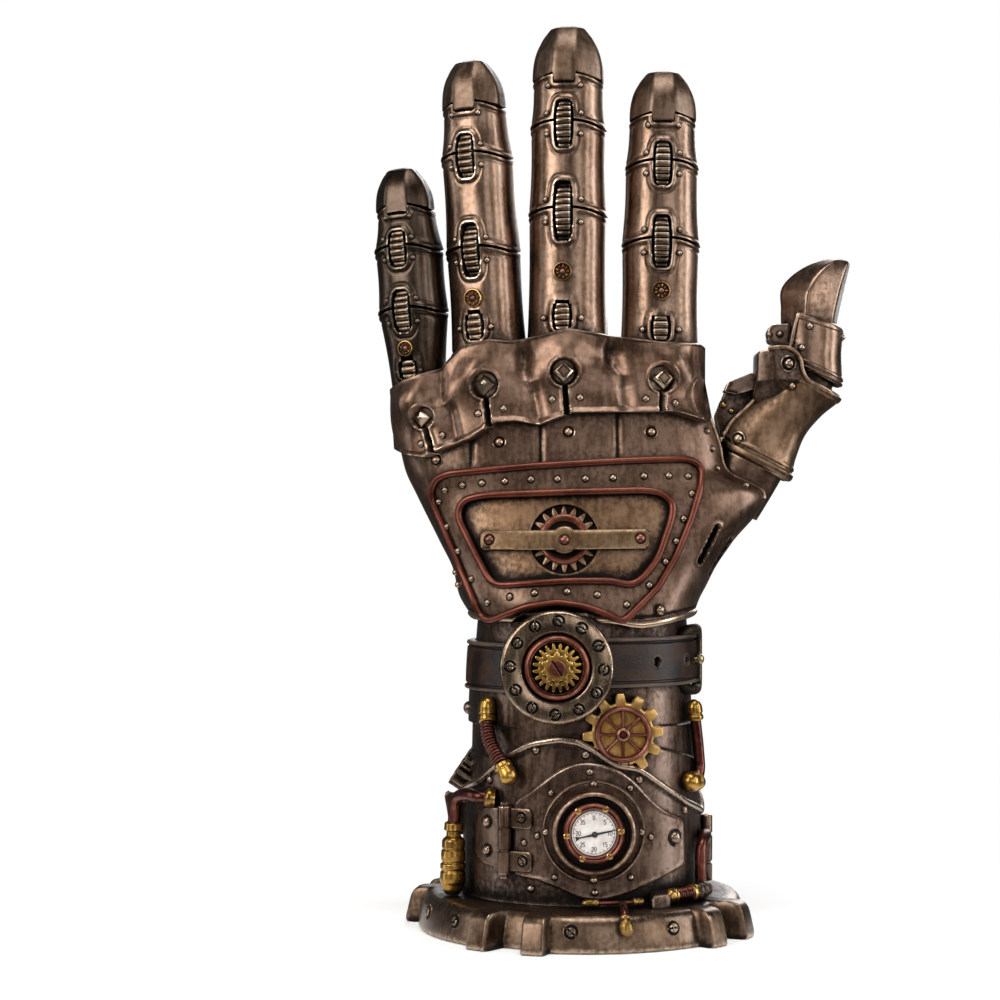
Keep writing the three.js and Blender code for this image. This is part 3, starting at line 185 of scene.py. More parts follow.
def put(name, shells, finish, slot, *nodes):
    """Joins closed shells in millimetres into one smooth piece in metres, each turned to face outwards
    by the sign of its volume, and fixes it to the body in place of the named solids. A shell may carry
    tones, added to its relief: below zero they paint its points dark, painted shade and patina alike,
    and above zero they rub them pale."""
    turned = []
    tones = np.concatenate([shell[2] if len(shell) > 2 else np.zeros(len(shell[0])) for shell in shells])
    for points, faces, *_ in shells:
        a, b, c = (points[faces[:, corner]] for corner in range(3))
        d = points[np.where(faces[:, 3] < 0, faces[:, 2], faces[:, 3])]
        volume = (a * np.cross(b, c)).sum() + (a * np.cross(c, d)).sum()
        turned.append((points, faces if volume > 0 else faces[:, [2, 1, 0, 3]]))
    starts = np.cumsum([0] + [len(points) for points, _ in turned])
    points = np.concatenate([points for points, _ in turned])
    faces = np.concatenate([np.where(some < 0, -1, some + at) for (_, some), at in zip(turned, starts)])
    sizes = (faces >= 0).sum(axis=1)
    mesh = bpy.data.meshes.new(name)
    mesh.vertices.add(len(points))
    mesh.vertices.foreach_set("co", (points * 0.001).ravel())
    mesh.loops.add(sizes.sum())
    mesh.loops.foreach_set("vertex_index", faces[faces >= 0])
    mesh.polygons.add(len(faces))
    mesh.polygons.foreach_set("loop_start", np.cumsum(sizes) - sizes)
    mesh.update(calc_edges=True)
    mesh.attributes.new("relief", "FLOAT", "POINT").data.foreach_set("value", relief(points, faces) + tones)
    mesh.validate()
    mesh.set_sharp_from_angle(angle=np.radians(42))
    mesh.materials.append(finish)
    piece = bpy.data.objects.new(name, mesh)
    bpy.context.scene.collection.objects.link(piece)
    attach(piece, "root")
    if nodes:
        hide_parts(*nodes)


def full_turn(count):
    """Even angles round a full turn, without the last, which is the first again."""
    return np.linspace(0, 2 * np.pi, count, endpoint=False)


def studs(spots, facing, profile, columns=14, slot=None):
    """Turned heads: rows of radius, height and (if given) tone are spun about each spot's own facing.
    A slot (half width, depth, turns) lowers a straight groove across each head and paints it dark, as shade
    in the slot."""
    spots = np.asarray(spots, float)
    facing = np.asarray(facing, float) / np.linalg.norm(facing, axis=-1, keepdims=True)
    facing = np.broadcast_to(facing, spots.shape)
    upright = np.where(np.abs(facing[:, 2:]) > 0.9, (1.0, 0.0, 0.0), (0.0, 0.0, 1.0))
    side = np.cross(upright, facing)
    side /= np.linalg.norm(side, axis=1, keepdims=True)
    rise = np.cross(facing, side)
    spin = full_turn(columns)
    profile = np.asarray(profile, float)
    radius, height, tone = np.pad(profile, ((0, 0), (0, 3 - profile.shape[1]))).T[:, None, :, None]
    across, along = radius * np.cos(spin), radius * np.sin(spin)
    height = np.repeat(height + 0 * across, len(spots), axis=0)
    tone = np.repeat(tone + 0 * across, len(spots), axis=0)
    if slot:
        half, depth, turns = slot
        turns = np.asarray(turns, float)[:, None, None]
        off = np.abs(across * np.cos(turns) + along * np.sin(turns))
        groove = np.clip((half - off) / half * 3, 0, 1) * (height > 0.05)
        # The groove is painted dark: shade painted into the slot.
        height, tone = height - depth * groove, tone - groove
    middle, side, rise, facing = (axis[:, None, None] for axis in (spots, side, rise, facing))
    rings = middle + across[..., None] * side + along[..., None] * rise + height[..., None] * facing
    return *skin(rings), np.pad(tone.reshape(len(spots), -1), ((0, 0), (0, 2))).ravel()


def dome(radius, height):
    """Rows of a low round head, a quarter ellipse, on a thin dark ring at its foot, painted shade with
    patina.
    """
    swing = np.linspace(0, 0.47 * np.pi, 6)
    rows = np.stack([radius * np.cos(swing), height * np.sin(swing) + 0.08, 0.25 * np.sin(swing)], axis=1)
    # Seat rows: tones paint shade round the head's foot; the head's own rows rub its top pale.
    seat = np.array([(1.34, -0.3, -0.4), (1.34, 0.03, -0.4), (1.28, 0.07, -0.7), (1.06, 0.05, -0.9)])
    return np.concatenate([seat * (radius, 1, 1), rows])


def screw(radius):
    """Rows of a slotted head in its countersink: a wide dark ring, painted shade in the countersink, and the
    flat head.
    """
    sink = [(1.72, -0.3, 0), (1.72, 0.04, -0.2), (1.62, 0.07, -0.9), (1.3, 0.06, -1), (1.06, 0.06, -1)]
    head = [(1.0, 0.3, 0), (0.9, 0.44, 0.08), (0.6, 0.47, 0), (0.3, 0.48, 0)]
    return np.array(sink + head) * (radius, radius, 1)


def step(value, low, high):
    """Smooth step from 0 at low to 1 at high: 3u^2 - 2u^3."""
    share = np.clip((value - low) / (high - low), 0, 1)
    return share * share * (3 - 2 * share)


def soften(values, reach, ends):
    """Each value averaged with its neighbours to both sides, weighed by a bell curve; ends says whether
    the row wraps round or goes on at its edge value."""
    weight = np.exp(-np.linspace(-2, 2, 2 * reach + 1) ** 2)
    return np.convolve(np.pad(values, reach, ends), weight / weight.sum(), "valid")


def points_of(x, y, z):
    """Points from three coordinates, each spread over the grid that they share."""
    return np.stack(np.broadcast_arrays(x, y, z), axis=-1)


bronze = antique("bronze", "957b69", "e8d0ba", "190f09", 0.31)
stand_coat = antique("stand_coat", "75604f", "cdb399", "150d08", 0.33)
STAND_PAIRS = np.array([-109.5, -27.0, 55.5, 152.0])
STAND_TOOTH = np.array([(-14, 45.8), (-13.3, 50), (-5.9, 50), (-5, 42.4), (5, 42.4), (5.9, 50), (13.3, 50),
                        (14, 45.8)])
STAND_SIDE = np.array([(1.4, 0.0), (0.5, 0.15), (0.1, 0.7), (0.2, 2), (0.9, 5), (1.4, 7), (1.75, 8),
                       (2.3, 8.9), (3.1, 9.6), (4.2, 9.95), (6, 10.05), (10, 10.1), (15, 10.1)])
stand_turn = np.linspace(-180, 180, 1000, endpoint=False)
stand_out = np.interp(stand_turn, (STAND_TOOTH[:, 0] + STAND_PAIRS[:, None]).ravel(),
                      np.tile(STAND_TOOTH[:, 1], 4), period=360)
stand_out = soften(stand_out, 2, "wrap")
stand_reach = stand_out - np.clip(STAND_SIDE[:, :1], 0, stand_out - 20)
stand_turn = np.radians(stand_turn)
stand_rings = points_of(stand_reach * np.sin(stand_turn), -stand_reach * np.cos(stand_turn),
                        STAND_SIDE[:, 1:])
screw_turn = np.radians([-72, -51.5, -5.6, 30.6, 100, 120, -150, 180])
SCREW_REACH, SCREW_Z, SCREW_RADIUS = 44.75, 5.9, 1.22
screw_face = points_of(np.sin(screw_turn), -np.cos(screw_turn), 0.2)
screw_spot = SCREW_REACH * screw_face * (1, 1, 0) + (0, 0, SCREW_Z)
slot_turns = [0.5, 2.2, 0.9, 1.6, 0.3, 1.1, 2, 0.7]
stand_screws = studs(screw_spot, screw_face, screw(SCREW_RADIUS), 40, (0.22, 0.6, slot_turns))
stand_points, stand_faces = skin(stand_rings)
# Painted shade: darker over the lowest 1.8 mm towards the floor, and darker on the flat top.
stand_shade = -0.7 * np.clip(1 - stand_points[:, 2] / 1.8, 0, 1) - 0.5 * step(stand_points[:, 2], 9.7, 10.05)
put("gear_foot", [(stand_points, stand_faces, stand_shade), stand_screws], stand_coat, "bronze",
    "gear_stand")


# Forearm and cuff plate: an oval tube with stepped lames that show above the cuff, and the cuff, one
# dark plate round it whose wavy top edge is rolled into a bead. Both are cast with the stand; domed
# rivets follow the cuff's edge.
FOREARM = np.array([(10.3, 31.4, 28.6), (35, 30.9, 27.7), (50, 30.8, 27.2), (64, 30.5, 26.8),
                    (81, 29.6, 26.2), (85.7, 29.2, 25.8)])


def on_forearm(turn, z, lift):
    """Point at a turn from the front towards the thumb: x = (wide + lift) sin, y = -(deep + lift) cos."""
    wide = np.interp(z, FOREARM[:, 0], FOREARM[:, 1]) + lift
    deep = np.interp(z, FOREARM[:, 0], FOREARM[:, 2]) + lift
    return points_of(wide * np.sin(turn), -deep * np.cos(turn), z)


def cuff_front(x, z, lift):
    """Front point of the same oval at a place across, and the way it faces."""
    wide = np.interp(z, FOREARM[:, 0], FOREARM[:, 1]) + lift
    turn = np.arcsin(np.clip(x / wide, -0.999, 0.999))
    return on_forearm(turn, z, lift), on_forearm(turn, z, lift + 1) - on_forearm(turn, z, lift)


def hoop(rings):
    """Closed shell over a grid that runs round both ways."""
    at = np.arange(rings.shape[0] * rings.shape[1]).reshape(rings.shape[:2])
    side = np.roll(at, -1, axis=1)
    faces = np.stack([at, side, np.roll(side, -1, axis=0), np.roll(at, -1, axis=0)], axis=-1)
    return rings.reshape(-1, 3), faces.reshape(-1, 4)


cuff_coat = antique("cuff_coat", "6b574b", "c2ac98", "120b07", 0.32, 1.0, 1.4)
arm_turn = np.radians(np.linspace(-180, 180, 240, endpoint=False))
arm_z = np.concatenate([np.linspace(10.4, 36, 6), np.linspace(38, 88.6, 126)])[:, None]
arm_side = np.degrees(arm_turn)
right_lame = 0.9 * (1 - step(arm_z, 57.4, 58.0))
right_lame = right_lame + 0.8 * (1 - step(arm_z + 0.12 * (arm_side - 50), 50.2, 50.8))
behind = step(-arm_side, 95, 180)
left_lame = 1.2 * (1 - behind) * step(arm_z, 56.9, 57.5) * (1 - step(arm_z, 67, 69))
left_lame = left_lame + 0.9 * behind * (1 - step(arm_z, 57.4, 58))
left_lame = left_lame + 0.9 * (1 - step(arm_z + 16 * behind, 48.6, 49.2))
arm_lift = right_lame * step(arm_side, 26, 30) + left_lame * step(-arm_side, 34, 40)
side_stud = studs([on_forearm(np.radians(-87), 61.0, 0.9)], [(-1, 0, 0)], dome(1.9, 1.7), 18)
put("forearm_tube", [skin(on_forearm(arm_turn, arm_z, arm_lift)), side_stud], cuff_coat, "cuff",
    "forearm_core")

CUFF_EDGE = np.array([(-180, 37), (-90, 38.7), (-58, 43.4), (-38, 50.9), (-26, 54.4), (-12, 55.8), (-3, 55),
                      (5, 52.4), (13, 49), (25, 47.8), (41, 42.1), (57, 37.4), (82, 33.4), (102, 38.6)])
CUFF_FOOT, CUFF_LIFT, BEAD_RADIUS = 10.3, 2.2, 1.05
cuff_turn = np.linspace(-180, 180, 420, endpoint=False)
cuff_top = np.interp(cuff_turn, CUFF_EDGE[:, 0], CUFF_EDGE[:, 1], period=360)
cuff_top = soften(cuff_top, 6, "wrap")
bead = np.radians(np.linspace(-125, 165, 12))
cuff_share = np.concatenate([np.linspace(0, 1, 44), np.ones(12), [1, 0]])[:, None]
cuff_drop = np.concatenate([np.full(44, 2.0), 1.0 - BEAD_RADIUS * np.sin(bead), [1.4, 1.4]])[:, None]
cuff_lift = np.concatenate([np.full(44, CUFF_LIFT), CUFF_LIFT + BEAD_RADIUS * np.cos(bead),
                            [0.2, 0.2]])[:, None]
cuff_z = CUFF_FOOT + cuff_share * (cuff_top - cuff_drop - CUFF_FOOT)
cuff_points, cuff_faces = hoop(on_forearm(np.radians(cuff_turn), cuff_z, cuff_lift))
# Painted shade under the rolled bead and towards the cuff's foot, where shadow falls; the bead's crown is
# rubbed pale.
bead_shade_and_rub = np.repeat([0.0] * 42 + [-0.5] * 3 + [0.3] * 10 + [0.0] * 3, 420)
cuff_shell = cuff_points, cuff_faces, bead_shade_and_rub - 0.5 * (1 - step(cuff_points[:, 2], 10.5, 21.0))
rivet_turn = np.radians([-51, -23.8, 0, 25.9, 55.6, -80, -110, -140, -170, 110, 140, 170, -26])
rivet_z = np.array([42.9, 51.66, 50.7, 43.8, 34.4, 36, 34.5, 34.2, 33.8, 34.5, 34.2, 33.8, 14.6])
rivet_face = on_forearm(rivet_turn, rivet_z, 3) - on_forearm(rivet_turn, rivet_z, 2)
cuff_rivets = studs(on_forearm(rivet_turn, rivet_z, CUFF_LIFT), rivet_face, dome(1.05, 0.8))
put("cuff_shell", [cuff_shell, cuff_rivets], cuff_coat, "cuff", "cuff_plate")


# Wrist strap and buckle: a band of dark leather with a pressed line along each edge and punched holes,
# and a brass frame with its tongue, standing on the strap at the thumb side.
def leather_finish():
    """Dark worn leather: clouded brown-grey with pebbled grain of 0.5 mm, pale scuffs on its edges, and
    painted shade, near black, in its grooves and holes.
    """
    material, shader, start, place = bare_material("strap_leather")
    cloud = start.noise(place, 140.0, 4.0)
    pebble = start.node("ShaderNodeTexVoronoi", {}, {"Vector": place, "Scale": 1700.0})
    height = start.node("ShaderNodeAttribute", {"attribute_name": "relief"}, {}, "Fac")
    scuff = (height + 0.4 * (cloud - 0.5)).span(0.12, 0.5)
    # Painted shade: low places, the edge lines and the punched holes, go near black.
    groove_shade = (0 - height + 0.3 * (cloud - 0.5)).span(0.06, 0.3)
    colour = cloud.span(0.36, 0.66).blend(tint("1b0e09"), tint("3a2518"))
    colour = groove_shade.blend((0.7 * scuff).blend(colour, tint("75675c")), tint("0d0a09"))
    colour.feed(shader, "Base Color")
    (0.3 + 0.3 * cloud).feed(shader, "Roughness")
    bumps = {"Height": pebble, "Strength": 0.16, "Distance": 0.0002}
    start.node("ShaderNodeBump", {}, bumps).feed(shader, "Normal")
    shader.inputs["Specular IOR Level"].default_value = 0.36
    return material


STRAP_MIDDLE, STRAP_SKEW = 73.3, 1.9
strap_turn = np.radians(np.linspace(-180, 180, 420, endpoint=False))
low_edge = [(66.6, 0.3), (66.6, 1.9), (66.75, 2.35), (67.1, 2.55), (67.5, 2.5), (67.8, 1.95), (68.15, 1.9),
            (68.5, 2.3)]
swell = [(68.5 + 0.42 * part, 2.3 + 0.1 * np.sin(np.pi * part / 23)) for part in range(1, 23)]
high_edge = [(78.1, 2.3), (78.45, 1.9), (78.8, 1.95), (79.1, 2.5), (79.5, 2.55), (79.85, 2.35), (80, 1.9),
             (80, 0.3)]
strap_rows = np.array(low_edge + swell + high_edge)
strap_z, strap_lift = strap_rows.T[:, :, None] + 0 * strap_turn
# Painted shade: the inside of each punched hole is darkened.
hole_shade = 0 * strap_z
for hole_turn in np.radians([37.5, 61]):
    hole = np.hypot((strap_turn - hole_turn) * 36, strap_z - STRAP_MIDDLE) - 0.3
    strap_lift = strap_lift - 1.7 * (1 - step(hole, 0.7, 1.1)) * (strap_lift > 1)
    strap_lift = strap_lift + 0.12 * (1 - step(hole, 1.2, 1.7))
    hole_shade = hole_shade - 1.0 * (1 - step(hole, 0.7, 1.0))
strap_spots = on_forearm(strap_turn, strap_z, strap_lift)
strap_spots[..., 2] += STRAP_SKEW * step(strap_spots[..., 0], -20, 8)
put("strap_band", [(*hoop(strap_spots), hole_shade.ravel())], leather_finish(), "leather", "wrist_strap")


def length_of(path):
    """Distance along a path to each of its points."""
    return np.concatenate([[0], np.cumsum(np.linalg.norm(np.diff(path, axis=0), axis=1))])


def bend(points, count):
    """Even points along a centripetal Catmull-Rom curve: each stretch is a cubic whose end slopes weigh
    the neighbouring chords by the square roots of their lengths."""
    way = np.asarray(points, float)
    way = np.concatenate([2 * way[:1] - way[1:2], way, 2 * way[-1:] - way[-2:-1]])
    gap = np.sqrt(np.linalg.norm(np.diff(way, axis=0), axis=1))[:, None]
    before, here, after = gap[:-2], gap[1:-1], gap[2:]
    p0, p1, p2, p3 = way[:-3], way[1:-2], way[2:-1], way[3:]
    leave = here * ((p1 - p0) / before - (p2 - p0) / (before + here) + (p2 - p1) / here)
    reach = here * ((p2 - p1) / here - (p3 - p1) / (here + after) + (p3 - p2) / after)
    u = np.linspace(0, 1, 40, endpoint=False)[None, :, None]
    run = p1[:, None] * (2 * u ** 3 - 3 * u ** 2 + 1) + leave[:, None] * (u ** 3 - 2 * u ** 2 + u)
    run = run + p2[:, None] * (3 * u ** 2 - 2 * u ** 3) + reach[:, None] * (u ** 3 - u ** 2)
    run = np.concatenate([run.reshape(-1, way.shape[1]), way[-2:-1]])
    length = length_of(run)
    at = np.linspace(0, length[-1], count)
    return np.stack([np.interp(at, length, run[:, axis]) for axis in range(way.shape[1])], axis=1)


def rounded(corners, steps=8):
    """Outline with its corners eased: each corner (x, z, round) is a quadratic curve between points
    a round's length back and ahead of it, and straight lines join the curves."""
    spot = np.array(corners, float)
    back = np.roll(spot, 1, axis=0)[:, :2] - spot[:, :2]
    ahead = np.roll(spot, -1, axis=0)[:, :2] - spot[:, :2]
    long_back, long_ahead = np.linalg.norm(back, axis=1), np.linalg.norm(ahead, axis=1)
    first = spot[:, :2] + back * np.minimum(spot[:, 2] / long_back, 0.45)[:, None]
    last = spot[:, :2] + ahead * np.minimum(spot[:, 2] / long_ahead, 0.45)[:, None]
    share = np.linspace(0, 1, steps)[None, :, None]
    curve = first[:, None] * (1 - share) ** 2 + spot[:, None, :2] * 2 * share * (1 - share)
    return (curve + last[:, None] * share ** 2).reshape(-1, 2)


def even(outline, count):
    """Points spaced evenly along a closed outline."""
    closed = np.concatenate([outline, outline[:1]])
    length = length_of(closed)
    at = np.linspace(0, length[-1], count, endpoint=False)
    return np.stack([np.interp(at, length, closed[:, axis]) for axis in range(2)], axis=1)


def sweep(path, radius, columns=12, up=(0.0, 0.0, 1.0), closed=False, flat=1.0):
    """Round section carried along a path: ring = point + radius (cos side + flat sin rise), side lying
    across the way and the up direction."""
    ahead = np.roll(path, -1, axis=0) - np.roll(path, 1, axis=0) if closed else np.gradient(path, axis=0)
    ahead = ahead / np.linalg.norm(ahead, axis=1, keepdims=True)
    side = np.cross(np.broadcast_to(up, path.shape), ahead)
    side /= np.linalg.norm(side, axis=1, keepdims=True)
    rise = np.cross(ahead, side)
    spin = full_turn(columns)[None, :, None]
    radius = np.broadcast_to(radius, len(path))[:, None, None]
    rings = path[:, None] + radius * (np.cos(spin) * side[:, None] + flat * np.sin(spin) * rise[:, None])
    return hoop(rings) if closed else skin(rings)


# The buckle's brass is a darker copy of the brass finish, painted as if it stood in shade.
shaded_buckle_brass = antique("shaded_buckle_brass", "7d6a44", "e0cd97", "1a1208", 0.34, 1.0, 0.6)
brass = antique("brass", "b98f45", "ebcf93", "241607", 0.3, 1.0, 0.4)
BUCKLE_Z, BUCKLE_WIRE = 75.0, 1.5
buckle_turn = np.radians(75)
buckle_out = np.array([np.sin(buckle_turn), -np.cos(buckle_turn), 0])
buckle_side = np.array([np.cos(buckle_turn), np.sin(buckle_turn), 0])
buckle_at = on_forearm(buckle_turn, BUCKLE_Z, 2.3)
frame_line = even(rounded([(-6.4, -8.3, 4), (4.0, -8.3, 4), (4.0, 8.3, 4), (-6.4, 8.3, 4)]), 150)
bow_out = -0.019 * frame_line[:, :1] ** 2 - 0.5 * np.maximum(-frame_line[:, :1] - 1.5, 0)
frame_path = buckle_at + frame_line[:, :1] * buckle_side + frame_line[:, 1:] * (0, 0, 1)
frame_path = frame_path + bow_out * buckle_out
tongue_along = np.linspace(-4.9, 4.3, 30)[:, None]
tongue_path = buckle_at + tongue_along * buckle_side + (0.9 - 0.02 * tongue_along ** 2) * buckle_out
knob = studs([buckle_at + 1.2 * buckle_out], [buckle_out], dome(1.5, 1.2), 18)
frame_points, frame_faces = sweep(frame_path, BUCKLE_WIRE, 16, buckle_out, True)
# Painted shade over the frame except its outermost edge, which is left pale.
frame_shade = 1.0 * step(frame_points[:, 0], 32.6, 33.2) - 0.8
tongue_points, tongue_faces = sweep(tongue_path, 0.7, 10)
buckle_loop = frame_points, frame_faces, frame_shade
# The tongue is painted in shade too.
tongue = tongue_points, tongue_faces, 0 * tongue_points[:, 0] - 0.5
put("buckle_frame", [buckle_loop, tongue, knob], shaded_buckle_brass, "brass", "strap_buckle")


# Hatch with its gauge: a lens-shaped door on the front of the cuff, a turned boss riveted to it, and in
# the boss a copper bezel round a white enamelled face with ticks, figures and a black needle.
plate_coat = antique("plate_coat", "806757", "d6b99c", "150d08", 0.37)


def polar(outline, centre, turns):
    """Distance of a star-shaped outline from a centre at each of these angles, by interpolation."""
    away = even(outline, 1600) - centre
    angle = np.arctan2(away[:, 1], away[:, 0])
    return np.interp(turns, angle, np.linalg.norm(away, axis=1), period=2 * np.pi)


def lathe(rows, x, z, columns):
    """Turned piece that faces the viewer: rows of radius and distance towards the viewer, spun about
    a line of sight at x, z."""
    radius, out = np.asarray(rows, float).T[:, :, None]
    spin = full_turn(columns)
    return points_of(x + radius * np.cos(spin), -out, z + radius * np.sin(spin))


def round_spots(x, z, radius, out, degrees):
    """Places on a circle that faces the viewer, at these angles from its right."""
    turns = np.radians(degrees)
    return points_of(x + radius * np.cos(turns), -out, z + radius * np.sin(turns))


GAUGE_X, GAUGE_Z = 2, 30.4
DOOR_LIFT = 3.8
TO_VIEWER = (0, -1, 0)
door_line = rounded([(-19.4, 37.2, 1.5), (-4, 49.5, 8), (9.5, 47.5, 8), (20.4, 35.7, 5), (27.6, 32.2, 1.5),
                     (27.6, 20, 1.5), (14, 14.6, 8), (2, 11, 8), (-11, 17, 6), (-19.4, 18, 1.5)], 12)
door_spin = np.linspace(-np.pi, np.pi, 480, endpoint=False)
door_reach = polar(door_line, (GAUGE_X, GAUGE_Z), door_spin)
door_rows = np.array([(0, 2.2), (0, 3.3), (0.12, 3.65), (0.45, 3.9), (0.9, 3.9), (1.2, 3.8), (2, 3.8),
                      (3.5, 3.8), (5, 3.8), (8, 3.8), (11, 3.8), (18, 3.8)])
door_r = np.maximum(door_reach - door_rows[:, :1], 3)
door_x, door_z = GAUGE_X + door_r * np.cos(door_spin), GAUGE_Z + door_r * np.sin(door_spin)
door_points, _ = cuff_front(door_x, door_z, door_rows[:, 1:] + 0 * door_r)
door_rivet = np.array([(1.0, 46.3), (11.9, 41.8), (17.6, 28.4), (12, 18), (2.3, 14.2), (-8.4, 18.2),
                       (-13, 29), (-9.3, 40.6), (-16.5, 27)])
rivet_spot, rivet_face = cuff_front(door_rivet[:, 0], door_rivet[:, 1], DOOR_LIFT)
big_spot, big_face = cuff_front(np.array([24.4]), np.array([27.6]), DOOR_LIFT)
door_studs = [studs(rivet_spot, rivet_face, dome(0.85, 0.7)), studs(big_spot, big_face, dome(1.9, 1.5), 20)]
put("hatch_door", [skin(door_points), *door_studs], cuff_coat, "plate", "cuff_door")

BOSS = [(13.8, 20), (13.9, 30), (13.85, 31.9), (13.6, 32.45), (13.3, 32.55), (13.1, 32.35), (12.9, 32.55),
        (12.7, 32.4), (12.5, 32.65), (12.3, 32.6), (12.1, 33.0), (11.7, 33.8), (11.35, 34.9), (11.2, 35.9),
        (10.95, 36.45), (10.5, 36.65), (10.1, 36.5), (9.85, 36), (9.65, 35.2), (9.5, 34.3), (5, 34.2),
        (1, 34.2)]
boss_spot = round_spots(GAUGE_X, GAUGE_Z, 12.75, 32.55, [90, 0, -90, 180])
put("gauge_housing", [skin(lathe(BOSS, GAUGE_X, GAUGE_Z, 96)), studs(boss_spot, TO_VIEWER, dome(0.9, 0.7))],
    plate_coat, "plate", "gauge_boss")

copper = antique("copper", "7b4537", "b4806e", "1c0b07", 0.4, 1.0, 0.2)
BEZEL = [(6.0, 33.4), (8.3, 33.4), (8.4, 35.0), (8.15, 35.6), (7.6, 35.95), (7.1, 35.8), (6.9, 35.5),
         (6.7, 35.75), (6.4, 35.8), (6.1, 35.2)]
put("gauge_ring", [hoop(lathe(BEZEL, GAUGE_X, GAUGE_Z, 80))], copper, "copper", "gauge_bezel")


def enamel_finish():
    """White enamel: a faint warm clouding, and black ticks where the angle about the dial's centre comes
    round to one of thirty places between two radii."""
    material, shader, start, place = bare_material("dial_enamel")
    cloud = start.noise(place, 400.0, 4.0)
    apart = start.node("ShaderNodeSeparateXYZ", {}, {0: place}, 0)
    depth = Wire(apart.socket.node.outputs[2])
    across, rise = apart - 0.001 * GAUGE_X, depth - 0.001 * GAUGE_Z
    angle = start.math("ARCTAN2", rise, across)
    reach = start.node("ShaderNodeMath", {"operation": "POWER"}, {0: across * across + rise * rise, 1: 0.5})
    beat = start.math("ABSOLUTE", start.math("SINE", angle * 15.0, 0.0), 0.0)
    band = reach.span(0.00495, 0.00505) - reach.span(0.0054, 0.0055)
    rim = reach.span(0.0054, 0.00545) - reach.span(0.00555, 0.0056)
    ink = band * (1 - beat.span(0.2, 0.35)) + rim
    paper = cloud.span(0.35, 0.7).blend(tint("f4eeea"), tint("dcd2cb"))
    (0.85 * ink).blend(paper, tint("2a2420")).feed(shader, "Base Color")
    (0.3 + 0.1 * cloud).feed(shader, "Roughness")
    return material


SPOT = [(0.85, -0.3), (0.85, 0.0), (0.65, 0.1), (0.2, 0.14)]
bezel_spots = round_spots(GAUGE_X, GAUGE_Z, 7.3, 35.8, 5 + 60 * np.arange(6))
put("bezel_spots", [studs(bezel_spots, TO_VIEWER, SPOT, 10)], brass, "brass")
FACE = [(5.95, 33.4), (5.95, 34.9), (5.85, 35), (4, 35), (2, 35), (0.4, 35)]
put("gauge_dial", [skin(lathe(FACE, GAUGE_X, GAUGE_Z, 64))], enamel_finish(), "enamel", "gauge_face")
NEEDLE = np.array([(-5.2, 0.5), (-4.6, 0.55), (-4.2, 0.2), (-3, 0.18), (-0.8, 0.3), (0, 0.5), (0.8, 0.3),
                   (3, 0.24), (5.9, 0.1)])
needle_along = np.linspace(-5.2, 5.9, 24)[:, None]
needle_path = np.array([2.2, -35.25, 30.1]) + needle_along * (0.976, 0, 0.217)
needle_wide = np.interp(needle_along[:, 0], *NEEDLE.T)
ink_coat = antique("needle_ink", "2a2623", "4a4440", "0c0a09", 0.5, 0.4)
STROKES = {"0": [(0.1, 0.3), (0.5, 0), (0.9, 0.3), (0.9, 1.7), (0.5, 2), (0.1, 1.7), (0.1, 0.4)],
           "1": [(0.2, 1.6), (0.5, 2), (0.5, 0)],
           "2": [(0, 1.5), (0.3, 2), (0.8, 1.9), (0.9, 1.3), (0, 0), (1, 0)],
           "3": [(0, 1.8), (0.5, 2), (0.9, 1.5), (0.4, 1.05), (0.9, 0.6), (0.5, 0), (0, 0.2)],
           "5": [(0.9, 2), (0.1, 2), (0.1, 1.1), (0.6, 1.2), (0.9, 0.6), (0.5, 0), (0, 0.2)]}
figures = []
for count in range(8):
    label = str(5 * count)
    at = np.array([GAUGE_X + 4.2 * np.sin(np.pi * count / 4), GAUGE_Z + 4.2 * np.cos(np.pi * count / 4)])
    for place, figure in enumerate(label):
        stroke = bend(STROKES[figure], 24) * 0.56 + at + (0.72 * (place - len(label) / 2) + 0.08, -0.56)
        figures.append(sweep(points_of(stroke[:, 0], -35.01, stroke[:, 1]), 0.085, 6, TO_VIEWER))
put("gauge_figures", figures, ink_coat, "enamel")
needle = sweep(needle_path, needle_wide, 8, TO_VIEWER, False, 0.35)
put("gauge_needle", [needle, studs([(2.2, -35.2, 30.1)], TO_VIEWER, dome(0.6, 0.5))], ink_coat, "enamel")


# Hinges of the hatch: a barrel in three lengths with two screwed leaves and a riveted wing on the left,
# and a stack of three barrels on the right, in the same coated casting as the door.
def barrel(turn, lift, rows):
    """Upright turned post beside the cuff: rows of radius and height spun about a line at a turn."""
    radius, height = np.asarray(rows, float).T[:, :, None]
    spot = on_forearm(np.radians(turn), 26.0, lift)
    spin = full_turn(24)
    return skin(points_of(spot[0] + radius * np.cos(spin), spot[1] + radius * np.sin(spin), height))


def leaf(corners, low, high):
    """Thin plate bent on the cuff: an eased outline about its middle, with a rounded edge."""
    line = even(rounded(corners), 96)
    middle = line.mean(axis=0)
    share = np.array([1, 1, 0.985, 0.94, 0.8, 0.5, 0.2])[:, None]
    lift = np.array([low, high - 0.3, high - 0.06, high, high, high, high])[:, None] + 0 * line[:, 0]
    x, z = (middle[axis] + share * (line[:, axis] - middle[axis]) for axis in range(2))
    return skin(cuff_front(x, z, lift)[0])


